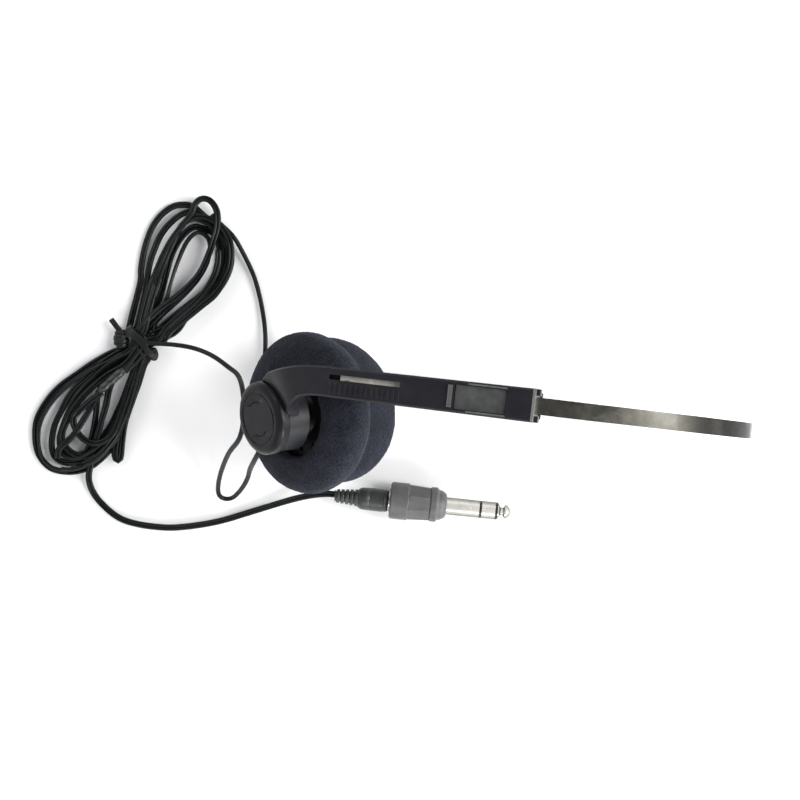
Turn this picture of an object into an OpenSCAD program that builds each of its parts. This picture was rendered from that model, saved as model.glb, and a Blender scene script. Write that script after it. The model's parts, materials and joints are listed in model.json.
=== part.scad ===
// Headphones with a steel band, two sliding arms and foam ear cups. Beside them lie a coiled
// twin cable and a small plug inside a larger adapter plug.
// Z is up and the footprint's middle is at the origin. The headphones lie on one side: the left
// half is above the right, and the crown points roughly along +X.

/* [Headband] */
// Radius of the steel band's round part, at the middle of the strip
band_radius = 58.1; // [54:0.1:64]
// Width of the steel strip
band_width = 4.9; // [4:0.1:5.1]
// Thickness of the steel strip
band_thick = 0.6; // [0.4:0.05:0.7]
// Length of each straight leg that runs inside an arm
leg_length = 62; // [58:0.5:63]
// Angle by which each leg closes inwards past parallel
leg_angle = 6; // [2:0.5:7]

/* [Arms] */
// Width of an arm at its band end
arm_band_width = 9.7; // [9.2:0.1:10.4]
// Width of an arm at its hub end
arm_hub_width = 8.9; // [8.6:0.1:9.6]
// Thickness of an arm
arm_thick = 4.6; // [4.4:0.1:5]
// Distance from the start of a leg to the arm's end face at rest
arm_gap = 5; // [4:0.5:7]

/* [Ear cups] */
// Outer diameter of a foam pad
pad_dia = 51.5; // [49:0.5:52]
// Foam thickness on the ear side of the pad's middle plane
pad_front = 10.5; // [9:0.5:12]
// Foam thickness on the hub side of the pad's middle plane
pad_back = 7.2; // [6.5:0.1:7.5]
// Diameter of the opening at the back of the foam
pad_opening = 26.4; // [26:0.2:28]
// Outer diameter of the driver housing
housing_dia = 41; // [39:0.5:42]
// Diameter of the round hub cap
cap_dia = 22.7; // [21:0.1:23.2]
// Diameter of the swivel ball
ball_dia = 6.8; // [6.6:0.1:6.9]
// Clearance of each swivel surface on its seat
ball_gap = 0.06; // [0.03:0.01:0.09]
// Rest angle of the left cup about its tilt pivot, from the hub's own axis
left_flop = -7; // [-8:1:3]
// Rest angle of the left cup about its swivel pins
left_turn = 3; // [-4:1:6]
// Rest angle of the right cup about its tilt pivot, from the hub's own axis
right_flop = 1; // [-8:1:3]

/* [Cable and plug] */
// Thickness of one round conductor of the flat twin cable
wire_thick = 1.3; // [1.1:0.1:1.5]
// Height of the coiled cable bundle
bundle_height = 6; // [5:0.5:8]
// Diameter of the large plug's sleeve
plug_dia = 6.35; // [6.2:0.05:6.4]
// Diameter of the small plug's sleeve
jack_dia = 3.5; // [3.4:0.05:3.5]
// Diameter of the adapter's body
adapter_dia = 13.4; // [12.8:0.1:14]

/* [Hidden] */
$fn = 64;
left = 1;
right = -1;
// attitude of the headband and centre of its arc
head_yaw = -6.645;
head_lean = 0.41;
head_pitch = 6;
arc_centre = [54.7, -3.14, 60.4];
footprint_centre = [-10.4, 12.6];
// swivel centre in the arm's frame, and the direction of the hub's axis
hub_centre = [-79.3, -12.1, -15.3];
hub_tilt = 38.6;
hub_azimuth = 200.5;
ball_height = 11;  // swivel centre above the pad's middle plane
ball_radius = ball_dia / 2;
liner_radius = ball_radius + 0.9;
tilt_pin_radius = 0.9;
swivel_pin_radius = 0.8;
cap_radius = cap_dia / 2;
housing_radius = housing_dia / 2;
jack_radius = jack_dia / 2;
plug_radius = plug_dia / 2;
adapter_radius = adapter_dia / 2;
plug_origin = [-3.7, -36.4, 6.72];
plug_yaw = -5.87;

// ---------- frames ----------
module at_footprint() translate([-footprint_centre[0], -footprint_centre[1], 0]) children();
// origin at the centre of the band's arc, X towards the crown, left half at +Z
module at_head() at_footprint() translate(arc_centre) rotate([0, 0, head_yaw])
  rotate([head_lean, 0, 0]) rotate([0, -head_pitch, 0]) children();
// the right side is the left one mirrored
module at_side(side) at_head() if (side > 0) children(); else mirror([0, 0, 1]) children();
// origin at the start of a leg, X towards the crown, Z outwards
module at_leg(side) at_side(side)
  translate([-band_radius * sin(leg_angle), 0, band_radius * cos(leg_angle)])
  rotate([0, -leg_angle, 0]) children();
// origin at an arm's end face
module at_arm(side) at_leg(side) translate([-arm_gap, 0, 0]) children();
// inside an arm's frame: origin at the swivel centre, Z outwards along the hub
module hub_in_arm(flop = 0) translate(hub_centre) rotate([0, 0, hub_azimuth])
  rotate([0, hub_tilt + flop, 0]) children();
module at_hub(side, flop = 0) at_arm(side) hub_in_arm(flop) children();
// origin at the middle of the pad, Z towards the hub
module at_cup(side) at_hub(side, side > 0 ? left_flop : right_flop)
  rotate([side > 0 ? left_turn : 0, 0, 0]) translate([0, 0, -ball_height]) children();
// origin at the adapter's mouth, Z along the plug towards the tip
module at_plug() at_footprint() translate(plug_origin) rotate([0, 0, plug_yaw])
  rotate([0, 90, 0]) children();

// ---------- shapes ----------
module rod(z, radius, height) translate([0, 0, z]) cylinder(r = radius, h = height);
module taper(z, low_radius, high_radius, height)
  translate([0, 0, z]) cylinder(r1 = low_radius, r2 = high_radius, h = height);
// box from x and z upwards, centred across Y
module block(x, z, size) translate([x, -size[1] / 2, z]) cube(size);
// box from x upwards, centred across Y and Z
module beam(x, size) block(x, -size[2] / 2, size);
// body of revolution; profile rows are [radius, z]
module turned(profile) rotate_extrude() polygon(profile);
module ring_of(count, radius, start = 0) for (k = [0 : count - 1])
  rotate([0, 0, start + k * 360 / count]) translate([radius, 0, 0]) children();

// ---------- curves ----------
// Catmull-Rom point at fraction t of the span from p1 to p2
function spline(p0, p1, p2, p3, t) = 0.5 * ((2 * p1) + (p2 - p0) * t
  + (2 * p0 - 5 * p1 + 4 * p2 - p3) * t * t + (3 * p1 - p0 - 3 * p2 + p3) * t * t * t);
// smooth open curve through the points
function open_curve(points, steps) = let (count = len(points)) concat(
  [for (i = [0 : count - 2]) for (k = [0 : steps - 1])
    spline(points[max(i - 1, 0)], points[i], points[i + 1], points[min(i + 2, count - 1)],
      k / steps)],
  [points[count - 1]]);
// smooth closed curve through the points
function closed_curve(points, steps) = let (count = len(points))
  [for (i = [0 : count - 1]) for (k = [0 : steps - 1])
    spline(points[(i + count - 1) % count], points[i], points[(i + 1) % count],
      points[(i + 2) % count], k / steps)];
function unit(v) = v / norm(v);
// 12-point section of a flat cable with rounded ends
function cable_section(width, thick) = [for (k = [0 : 11]) let (angle = -k * 30)
  [(width - thick) / 2 * sign(cos(angle)) + thick / 2 * cos(angle), thick / 2 * sin(angle)]];
// solid through a list of rings with equal numbers of points, closed at both ends
module skin(rings) {
  count = len(rings);
  size = len(rings[0]);
  sides = [for (i = [0 : count - 2]) for (k = [0 : size - 1])
    each let (a = i * size + k, b = i * size + (k + 1) % size)
      [[a, a + size, b], [b, a + size, b + size]]];
  first_cap = [for (k = [0 : size - 1]) k];
  last_cap = [for (k = [size - 1 : -1 : 0]) (count - 1) * size + k];
  polyhedron(points = [for (ring = rings) each ring],
    faces = concat([first_cap], sides, [last_cap]), convexity = 6);
}
// section swept along a path, its width kept level
module sweep(path, section) {
  last = len(path) - 1;
  skin([for (i = [0 : last])
    let (along = unit(path[min(i + 1, last)] - path[max(i - 1, 0)]),
      across = unit(cross(along, [0, 0, 1])), up = cross(across, along))
    [for (q = section) path[i] + across * q[0] + up * q[1]]]);
}

// ---------- headband ----------
arc_end = 90 + leg_angle;  // angle from the crown to the start of a leg
stop_height = 0.5;

module headband_strip() color("dimgray") {
  at_head() rotate([90, 0, 0]) intersection() {
    difference() {
      cylinder(r = band_radius + band_thick / 2, h = band_width, center = true, $fn = 180);
      cylinder(r = band_radius - band_thick / 2, h = band_width + 1, center = true, $fn = 180);
    }
    linear_extrude(band_width + 2, center = true)
      polygon(concat([[0, 0]],
        [for (a = [-arc_end : arc_end / 4 : arc_end]) 80 * [cos(a), sin(a)]]));
  }
  for (side = [left, right])
    at_leg(side) beam(-leg_length, [leg_length + 0.02, band_width, band_thick]);
}
// a small boss on each face of each leg, near its end
module band_end_stops() color("silver") for (side = [left, right])
  at_leg(side) translate([-leg_length + 2.4, 0, 0])
    for (z = [band_thick / 2, -band_thick / 2 - stop_height]) rod(z, 1.1, stop_height);

// ---------- arms ----------
hub_floor = -3.5;
hub_top = 3.4;
channel_start = -66.5;
channel_width = band_width + 0.3;
channel_thick = band_thick + 0.24;
window_start = -22.6;
window_length = 15.2;
window_width = 7.5;
window_floor = 0.9;
plate_gap = 0.2;
rail_length = 11.2;
rail_width = 0.45;
raised_z = arm_thick / 2 - 0.05;  // raised details start just inside the face

hub_axis = [sin(hub_tilt) * cos(hub_azimuth), sin(hub_tilt) * sin(hub_azimuth), cos(hub_tilt)];
// stations of the arm's middle line towards the hub: [x, y, z, width]
neck_stations = [
  [-58, 0, 0, arm_hub_width + 0.06],
  [-63, 0, 0, arm_hub_width],
  [-68.8, -0.55, -0.7, arm_hub_width + 0.3],
  [-73.2, -2.3, -3.2, arm_hub_width + 2.4],
  [-76.6, -5.0, -7.4, arm_hub_width + 6],
  [-78.3, -8.5, -11.5, arm_hub_width + 7.4],
  [-79.0, -11.2, -14.4, arm_hub_width + 7.6]];
bar_path = concat([[0, 0, 0, arm_band_width]], open_curve(neck_stations, 4));

// chamfered section of the arm: [along its thickness, along its width]
function bar_section(width, chamfer = 0.5) = let (t = arm_thick / 2, w = width / 2, c = chamfer)
  [[-t + c, -w], [t - c, -w], [t, -w + c], [t, w - c],
   [t - c, w], [-t + c, w], [-t, w - c], [-t, -w + c]];
function xyz(station) = [station[0], station[1], station[2]];
// lofted bar that turns its face from the strip's to the hub's direction
module bar() {
  last = len(bar_path) - 1;
  turn_from = 5;
  turn_to = last - 3;
  skin([for (i = [0 : last])
    let (before = xyz(bar_path[max(i - 1, 0)]), after = xyz(bar_path[min(i + 1, last)]),
      along = i < 3 ? [-1, 0, 0] : unit(after - before),
      k = min(1, max(0, (i - turn_from) / (turn_to - turn_from))),
      turn = k * k * (3 - 2 * k),
      facing = unit([0, 0, 1] * (1 - turn) + hub_axis * turn),
      across = unit(cross(along, facing)), up = cross(across, along))
    [for (q = bar_section(bar_path[i][3])) xyz(bar_path[i]) + up * q[0] + across * q[1]]]);
}
module strip_channel(x, length) beam(x, [length, channel_width, channel_thick]);
module arm_body() {
  difference() {
    union() {
      bar();
      hub_in_arm() taper(hub_floor, 11.3, 10.6, hub_top - hub_floor);
    }
    // bore for the socket, flared recess below it and seat for the cap
    hub_in_arm() {
      rod(-2.4, 6.5, 8);
      taper(-4, 9.6, 8.1, 1.61);
      rod(hub_top, cap_radius + 0.15, 12);
    }
    // channel for the steel strip, and a deeper groove for its end stop
    strip_channel(channel_start, 80);
    beam(channel_start, [61, 2.9, 2.3]);
    // long slot over the strip
    translate([-60.1, 0.75, 0]) cube([21.5, 1.5, 4]);
    // window with a recess for the friction plate
    block(window_start, window_floor, [window_length, window_width, 4]);
    block(window_start, 0, [window_length, channel_width, 2]);
  }
  // rails beside the window
  for (y = [window_width / 2, -window_width / 2 - rail_width])
    translate([window_start + window_length - rail_length, y, raised_z])
      cube([rail_length, rail_width, 0.4]);
  // bar across the arm, beyond the window
  block(-24.4, raised_z, [1.3, 6.4, 0.5]);
  // row of fine ribs beside the slot
  for (k = [0 : 13]) translate([-60 + k * 1.6, -3.2, raised_z]) cube([0.7, 2.9, 0.3]);
}
arm_color = [0.13, 0.13, 0.14];
module left_arm() color(arm_color) at_arm(left) arm_body();
module right_arm() color(arm_color) at_arm(right) arm_body();

// plate that lies in the window, with a raised pad towards the strip
module plate() {
  size = [window_length - 2 * plate_gap, window_width - 2 * plate_gap, 0.6];
  translate([window_start + plate_gap, -size[1] / 2, window_floor + 0.05]) {
    cube(size);
    translate([4, 1.1, -0.55]) cube([6, 4.8, 0.56]);
  }
}
plate_color = [0.35, 0.36, 0.35];
module left_friction_plate() color(plate_color) at_arm(left) plate();
module right_friction_plate() color(plate_color) at_arm(right) plate();

// collar on the band end, with two prongs beside the strip
module clip() difference() {
  union() {
    beam(0.03, [0.8, arm_band_width + 0.1, arm_thick + 0.1]);
    for (y = [-1, 1]) translate([0, y * (arm_band_width / 2 - 1.0), 0])
      beam(0.5, [1.6, 1.9, arm_thick - 0.6]);
  }
  strip_channel(-1, 5);
}
clip_color = [0.3, 0.3, 0.31];
module left_end_clip() color(clip_color) at_arm(left) clip();
module right_end_clip() color(clip_color) at_arm(right) clip();

// ---------- swivel ----------
// half-section of a cone from the swivel centre, up (1) or down (-1)
module cone_section(half_angle, up)
  polygon([[0, 0], [9, up * 9 / tan(half_angle)], [9, up * 12], [0, up * 12]]);

// insert with the round seat and two bearing holes for the liner's trunnions
module socket() difference() {
  rotate_extrude() difference() {
    translate([0, -2.35]) square([6.45, 5.7]);
    circle(r = liner_radius + ball_gap);
    cone_section(56, -1);
  }
  rotate([90, 0, 0]) cylinder(r = tilt_pin_radius + ball_gap, h = 16, center = true);
}
socket_color = [0.2, 0.2, 0.2];
module left_ball_socket() color(socket_color) at_hub(left) socket();
module right_ball_socket() color(socket_color) at_hub(right) socket();

// liner between socket and ball, open above and below
module liner_shell() rotate_extrude() difference() {
  circle(r = liner_radius);
  circle(r = ball_radius + ball_gap);
  translate([-9, -9]) square([9, 18]);
  cone_section(44, -1);
  cone_section(50, 1);
}
// liner with its tilt trunnions along Y and the holes for the ball's pins along X
module liner() difference() {
  union() {
    liner_shell();
    for (a = [90, -90]) rotate([a, 0, 0]) rod(liner_radius - 0.3, tilt_pin_radius, 2.1);
  }
  rotate([0, 90, 0]) cylinder(r = swivel_pin_radius + ball_gap, h = 16, center = true);
}
liner_color = [0.75, 0.75, 0.72];
module left_ball_seat() color(liner_color) at_hub(left, left_flop) liner();
module right_ball_seat() color(liner_color) at_hub(right, right_flop) liner();

// ball and pins, with the neck and the flange that holds them in the housing
module stud() {
  translate([0, 0, ball_height]) {
    sphere(r = ball_radius);
    rotate([0, 90, 0])
      cylinder(r = swivel_pin_radius, h = 2 * liner_radius - 0.3, center = true);
  }
  rod(2.0, 1.6, ball_height - 3);
  rod(2.0, 2.4, 0.8);
}
module left_ball_stud() color("silver") at_cup(left) stud();
module right_ball_stud() color("silver") at_cup(right) stud();

// round cap with a bevelled rim, a ring groove and two arcs of six dimples
module cap() difference() {
  turned([[0, 3.45], [cap_radius - 0.5, 3.45], [cap_radius, 3.75], [cap_radius - 0.1, 6.3],
    [cap_radius - 0.45, 6.85], [cap_radius - 1.1, 7.3], [cap_radius - 2.0, 7.6],
    [8.3, 7.6], [8.15, 7.35], [7.75, 7.35], [7.6, 7.6], [0, 7.6]]);
  sphere(r = liner_radius + 0.2);
  for (k = [0 : 5]) for (j = [-1, 1])
    rotate([0, 0, 90 * j + (k - 2.5) * 11]) translate([5.2, 0, 0]) rod(7.4, 0.35, 1, $fn = 24);
}
cap_color = [0.16, 0.16, 0.17];
module left_hub_cap() color(cap_color) at_hub(left) cap();
module right_hub_cap() color(cap_color) at_hub(right) cap();

// rubber sleeve where the lead enters the hub's wall
module grommet() rotate([0, 0, 30]) translate([11.2, 0, 0]) rotate([0, 90, 0]) difference() {
  union() {
    rod(0, 1.35, 2.4);
    rod(0, 1.9, 0.9);
  }
  rod(1.0, 0.95, 4);
}
grommet_color = [0.1, 0.1, 0.1];
module left_lead_grommet() color(grommet_color) at_hub(left) grommet();
module right_lead_grommet() color(grommet_color) at_hub(right) grommet();

// ---------- cup ----------
housing_edge = -5.6;     // rim on the ear side
housing_shoulder = 1.6;  // flat face on the hub side
housing_wall = 1.2;
foam_gap = 0.1;

module housing() difference() {
  turned([[1.65, 5.4], [2.6, 5.4], [6.9, 1.8], [7.2, housing_shoulder],
    [housing_radius - 0.8, housing_shoulder], [housing_radius, 0.8],
    [housing_radius, housing_edge], [housing_radius - housing_wall, housing_edge],
    [housing_radius - housing_wall, -0.2], [housing_radius - 1.6, 0.4],
    [6.6, 0.4], [2.9, 2.9], [1.65, 2.9]]);
  ring_of(12, 11.2, start = 15) rod(0, 0.75, 3, $fn = 24);
}
housing_color = [0.1, 0.1, 0.11];
module left_housing() color(housing_color) at_cup(left) housing();
module right_housing() color(housing_color) at_cup(right) housing();

// disc with a centre hole and three rings of holes
module baffle() difference() {
  rod(housing_edge, housing_radius - housing_wall - 0.1, 1.2);
  rod(-6, 0.9, 2, $fn = 24);
  for (k = [1 : 3]) ring_of(6 * k, k * 3.3) rod(-6, 0.9, 2, $fn = 24);
}
baffle_color = [0.12, 0.12, 0.13];
module left_baffle() color(baffle_color) at_cup(left) baffle();
module right_baffle() color(baffle_color) at_cup(right) baffle();

module driver_frame() difference() {
  turned([[6.25, -2.3], [12.9, -2.3], [12.9, -4.34], [14.5, -4.34], [14.5, -1.5], [6.25, -1.5]]);
  ring_of(6, 9.6) rod(-3, 1.9, 2, $fn = 32);
}
frame_color = [0.2, 0.2, 0.22];
module left_driver_frame() color(frame_color) at_cup(left) driver_frame();
module right_driver_frame() color(frame_color) at_cup(right) driver_frame();

// cup-shaped yoke, open towards the ear
module yoke() turned([[0, 0.2], [6.2, 0.2], [6.2, -3.3], [4.7, -3.3], [4.7, -0.7], [0, -0.7]]);
module left_yoke() color("gray") at_cup(left) yoke();
module right_yoke() color("gray") at_cup(right) yoke();

module magnet() rod(-2, 3.5, 1.29);
module left_magnet() color("dimgray") at_cup(left) magnet();
module right_magnet() color("dimgray") at_cup(right) magnet();

module top_plate() rod(-3.3, 3.75, 1.29);
module left_top_plate() color("gray") at_cup(left) top_plate();
module right_top_plate() color("gray") at_cup(right) top_plate();

module coil() difference() {
  rod(-3.75, 4.35, 1.6);
  rod(-4.75, 4.05, 4);
}
coil_color = [0.72, 0.4, 0.2];
module left_voice_coil() color(coil_color) at_cup(left) coil();
module right_voice_coil() color(coil_color) at_cup(right) coil();

// thin domed film inside the frame's rim
module film() turned([
  [0, -4.3], [2.4, -4.22], [4.2, -3.92], [8, -4.25], [12.8, -3.95],
  [12.8, -3.77], [8, -4.07], [4.2, -3.76], [2.4, -4.04], [0, -4.12]]);
film_color = [0.7, 0.68, 0.55];
module left_diaphragm() color(film_color) at_cup(left) film();
module right_diaphragm() color(film_color) at_cup(right) film();

module board() block(8.2, -1.45, [4.6, 5, 0.8]);
board_color = [0.1, 0.35, 0.2];
module left_terminal_board() color(board_color) at_cup(left) board();
module right_terminal_board() color(board_color) at_cup(right) board();

// felt ring, cut away round the terminal board
module felt() difference() {
  rod(-1.4, 13.4, 0.7);
  rod(-3, 6.6, 6);
  block(6, -3, [10, 6.4, 6]);
}
felt_color = [0.6, 0.6, 0.58];
module left_damping_felt() color(felt_color) at_cup(left) felt();
module right_damping_felt() color(felt_color) at_cup(right) felt();

// superellipse radius of the foam's section at an angle from the middle plane
function foam_radius(angle) = let (depth = sin(angle) > 0 ? pad_back : pad_front, power = 2.7)
  pow(pow(abs(cos(angle)) / (pad_dia / 2), power) + pow(abs(sin(angle)) / depth, power),
    -1 / power);
// domed front, full round rim, and a back that wraps the housing round its opening
module foam() rotate_extrude($fn = 96) difference() {
  polygon(concat([[0, -pad_front], [0, 0], [0, 2]],
    [for (a = [84 : -6 : -84]) foam_radius(a) * [cos(a), sin(a)]]));
  translate([-1, housing_edge - foam_gap])
    square([housing_radius + foam_gap + 1, housing_shoulder - housing_edge + 2 * foam_gap]);
  translate([-1, 0]) square([pad_opening / 2 + 1, 20]);
}
foam_color = [0.16, 0.17, 0.21];
module left_foam_pad() color(foam_color) at_cup(left) foam();
module right_foam_pad() color(foam_color) at_cup(right) foam();

// ---------- cable ----------
// waypoints of each lead: [x, y, z]
left_lead_path = [
  [-88.5, 20.5, 8], [-81.5, 20, 10], [-73.5, 18.5, 14], [-66, 15.5, 22], [-58.5, 11, 36],
  [-54.5, 8.5, 46], [-52, 4, 54], [-51, -3.5, 58], [-52.5, -12, 55], [-58, -18, 42],
  [-63, -25.5, 24], [-66, -32, 9], [-66, -36, 3], [-62.5, -36.5, 2.5], [-59, -34, 9],
  [-55.5, -30.5, 20], [-52, -26.5, 38], [-49, -22.5, 58], [-45.8, -18.4, 71.3],
  [-43, -14, 75.5]];
right_lead_path = [
  [-61.4, 60.6, 3.4], [-58.6, 55.8, 2.2], [-55.3, 49.2, 1.2], [-53.2, 44, 1], [-50.7, 33.5, 1],
  [-49.4, 22, 2], [-50.2, 8, 3], [-50.8, -6, 6], [-50, -16, 14], [-46.5, -21, 25],
  [-43, -20.2, 30], [-40.2, -17.2, 28], [-37.8, -14.3, 25.4]];
main_lead_path = [
  [-114.6, -27.6, 2.4], [-114.2, -31, 1.6], [-111.8, -36.1, 1], [-104.2, -43.1, 0.9],
  [-97.2, -45.6, 0.9], [-89.9, -46.7, 0.9], [-82.5, -47, 0.9], [-68, -45, 0.9],
  [-53.9, -40.9, 1], [-41, -36.9, 2.2], [-33.5, -35, 4.6], [-27.5, -34.1, 6.4],
  [-24.4, -34.28, 6.69], [-22.3, -34.49, 6.72]];
// outlines of the coiled bundle, [x, y]: two lobes that meet at the waist, with a hole in each
lobe_a = [
  [-98.9, 26], [-97.6, 33.6], [-95.2, 43.1], [-94.3, 50.1], [-92.4, 58.1], [-89.1, 64.7],
  [-83.7, 70.2], [-77.3, 73.5], [-71.5, 74], [-67, 70.5], [-64.3, 63.5], [-61.7, 57],
  [-61.6, 52.4], [-63, 46.8], [-66.3, 40.9], [-72.3, 34.3], [-79.3, 28.5], [-86.8, 21.5]];
hole_a = [
  [-73.8, 61.4], [-70.2, 58.5], [-70.9, 53.3], [-74.2, 46.8], [-79.8, 40.2], [-83, 37.6],
  [-81.7, 43.1], [-79.3, 51.5], [-77.5, 58.1]];
waist = [-90.7, 15.4];
lobe_b = [
  [-98, 20.5], [-104.6, 18.3], [-112.3, 15.3], [-121.4, 9.9], [-128.4, 2.9], [-132.6, -4.7],
  [-134.5, -12.4], [-133.4, -19], [-129.7, -23.7], [-125, -27.4], [-119.1, -27.8],
  [-114, -25.9], [-108.9, -20.8], [-104, -14.8], [-101.2, -9.9], [-97.6, -1.5], [-94.3, 8.4]];
hole_b = [
  [-121.4, 3.5], [-126.5, -3], [-129.7, -12], [-127.8, -18.5], [-123.8, -14.5], [-120, -6],
  [-116.5, 1.5]];
lead_section = cable_section(1.7, 1.25);

module left_lead() color([0.08, 0.09, 0.09])
  at_footprint() sweep(open_curve(left_lead_path, 4), lead_section);
module right_lead() color([0.08, 0.09, 0.09])
  at_footprint() sweep(open_curve(right_lead_path, 5), lead_section);
module main_lead() color([0.07, 0.08, 0.08])
  at_footprint() sweep(open_curve(main_lead_path, 5), cable_section(2.4, wire_thick));
module cable_bundle() color([0.07, 0.08, 0.08])
  at_footprint() translate([0, 0, 0.5]) linear_extrude(bundle_height) difference() {
    lobe_b_back = [for (k = [len(lobe_b) - 1 : -1 : 0]) lobe_b[k]];
    polygon(closed_curve(concat(lobe_a, [waist], lobe_b_back), 4));
    polygon(closed_curve(hole_a, 4));
    polygon(closed_curve(hole_b, 4));
  }
// band round the bundle's waist, with one free tail
module cable_tie() color([0.05, 0.05, 0.05])
  at_footprint() translate([-94, 21.2, 0]) rotate([0, 0, -48]) {
    difference() {
      block(-9.4, 0, [18.8, 2.6, bundle_height + 1.3]);
      block(-8.9, 0.4, [17.8, 6, bundle_height + 0.4]);
    }
    translate([-12.6, -1.9, 2.2]) rotate([0, 0, 20]) cube([4.4, 2.2, 2.2]);
  }
module y_splitter() color([0.06, 0.06, 0.06])
  at_footprint() translate([-104.6, 7.1, bundle_height + 2.2])
    rotate([0, 0, 42]) rotate([0, 90, 0]) {
      rod(-5.2, 1.6, 10.4);
      rod(-6, 1.1, 12);
    }

// ---------- plug ----------
core_fit = 0.02;  // clearance of the insulating core, in its bore and on the tip's rod
jack_bore = 0.95;
jack_rod = 0.55;
jack_insulator = 0.6;
jack_sleeve_end = 7.5;
jack_ring_start = jack_sleeve_end + jack_insulator;
jack_ring_length = 1.9;
jack_ring_end = jack_ring_start + jack_ring_length;
jack_tip_start = jack_ring_end + jack_insulator;

module plug_handle() color([0.14, 0.15, 0.15]) at_plug() difference() {
  union() {
    turned([[0, -11.7], [3.1, -11.7], [3.7, -11], [4.1, -9.8], [4.15, -7], [4.15, -1.6],
      [3.7, -0.5], [0, -0.5]]);
    // ribbed tail
    for (k = [0 : 4]) taper(-19.5 + k * 1.66, 2.4 + k * 0.14, 2.5 + k * 0.14, 1.1);
    taper(-19.4, 1.9, 2.5, 8.6);
  }
  rod(-21, 1.35, 3);
  rod(-4, jack_radius, 5);
}
module plug_sleeve() color("silver") at_plug() difference() {
  rod(-4, jack_radius, jack_sleeve_end + 4);
  rod(-5, jack_bore, 14);
}
module plug_ring() color("silver") at_plug() difference() {
  rod(jack_ring_start, jack_radius, jack_ring_length);
  rod(7, jack_bore, 4);
}
module plug_tip() color("silver") at_plug() turned([
  [0, -3.5], [jack_rod, -3.5], [jack_rod, jack_tip_start], [1.7, jack_tip_start], [1.7, 10.9],
  [1.2, 11.7], [1.65, 12.6], [1.35, 13.4], [0.6, 14], [0, 14]]);
module plug_insulators() color([0.05, 0.05, 0.05]) at_plug() difference() {
  union() {
    for (z = [jack_sleeve_end, jack_ring_end]) rod(z, jack_radius, jack_insulator);
    rod(-3.8, jack_bore - core_fit, 14.0);
  }
  rod(-5, jack_rod + core_fit, 20);
}

// ---------- adapter ----------
adapter_color = [0.27, 0.27, 0.28];
adapter_bore = 2.1;
adapter_rod = 1.3;
adapter_insulator = 0.9;
adapter_sleeve_end = 32.6;
adapter_ring_start = adapter_sleeve_end + adapter_insulator;
adapter_ring_length = 4.9;
adapter_ring_end = adapter_ring_start + adapter_ring_length;
adapter_tip_start = adapter_ring_end + adapter_insulator;
grip_start = 7.0;
grip_length = 7.5;

// round collar followed by an eight-sided grip
module adapter_body() color(adapter_color) at_plug() difference() {
  union() {
    turned([[0, 0], [adapter_radius - 0.6, 0], [adapter_radius, 0.6], [adapter_radius, 6.5],
      [adapter_radius - 0.5, grip_start], [0, grip_start]]);
    rotate([0, 0, 22.5])
      taper(grip_start, adapter_radius - 0.05, adapter_radius - 0.45, grip_length, $fn = 8);
    taper(grip_start, adapter_radius - 0.4, adapter_radius - 0.8, grip_length);
  }
  rod(-1, 3.0, 5.2);
  rod(4.19, 4.4, 20);
}
module adapter_nose() color(adapter_color) at_plug() difference() {
  turned([[0, 12.1], [4.35, 12.1], [4.35, 14.55], [adapter_radius - 0.8, 14.55],
    [adapter_radius - 0.4, 15.0], [adapter_radius - 0.4, 16.9], [adapter_radius - 0.9, 17.5],
    [5.5, 17.7], [5.3, 18.8], [4.6, 20.0], [3.9, 20.6], [0, 20.6]]);
  rod(10, 2.92, 20);
}
module adapter_socket_bush() color("silver") at_plug() difference() {
  union() {
    rod(-0.35, 4.2, 0.34);
    rod(-0.02, 2.95, 4.2);
  }
  rod(-2, jack_radius + 0.05, 8);
}
// three L-shaped strips of growing length
module adapter_contacts() color([0.8, 0.7, 0.4]) at_plug()
  for (k = [0 : 2]) rotate([0, 0, k * 120]) {
    block(2.0, 4.6, [0.3, 1.6, 6.2 + k * 0.9]);
    block(2.0, 4.6, [1.9, 1.6, 0.3]);
  }
module adapter_sleeve() color("silver") at_plug() difference() {
  union() {
    rod(15, 2.9, 6);
    rod(20.6, plug_radius, adapter_sleeve_end - 20.6);
  }
  rod(14, adapter_bore, 30);
}
module adapter_ring() color("silver") at_plug() difference() {
  rod(adapter_ring_start, plug_radius, adapter_ring_length);
  rod(33, adapter_bore, 6);
}
module adapter_tip() color("silver") at_plug() turned([
  [0, 15], [adapter_rod, 15], [adapter_rod, adapter_tip_start], [2.85, adapter_tip_start],
  [2.85, 39.7], [2.2, 40.1], [1.5, 40.5], [1.45, 41.3], [1.9, 41.6], [2.45, 41.9],
  [2.55, 42.4], [2.2, 43.0], [1.5, 43.7], [0.7, 44.1], [0, 44.2]]);
module adapter_insulators() color([0.05, 0.05, 0.05]) at_plug() difference() {
  union() {
    for (z = [adapter_sleeve_end, adapter_ring_end]) rod(z, plug_radius, adapter_insulator);
    rod(15, adapter_bore - core_fit, 24);
  }
  rod(14, adapter_rod + core_fit, 40);
}

headband_strip();
band_end_stops();
left_arm();
right_arm();
left_friction_plate();
right_friction_plate();
left_end_clip();
right_end_clip();
left_ball_socket();
right_ball_socket();
left_hub_cap();
right_hub_cap();
left_lead_grommet();
right_lead_grommet();
left_ball_seat();
right_ball_seat();
left_ball_stud();
right_ball_stud();
left_housing();
right_housing();
left_baffle();
right_baffle();
left_driver_frame();
right_driver_frame();
left_yoke();
right_yoke();
left_magnet();
right_magnet();
left_top_plate();
right_top_plate();
left_voice_coil();
right_voice_coil();
left_diaphragm();
right_diaphragm();
left_terminal_board();
right_terminal_board();
left_damping_felt();
right_damping_felt();
left_foam_pad();
right_foam_pad();
left_lead();
right_lead();
cable_bundle();
cable_tie();
y_splitter();
main_lead();
plug_handle();
plug_sleeve();
plug_ring();
plug_tip();
plug_insulators();
adapter_body();
adapter_nose();
adapter_socket_bush();
adapter_contacts();
adapter_sleeve();
adapter_ring();
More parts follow.
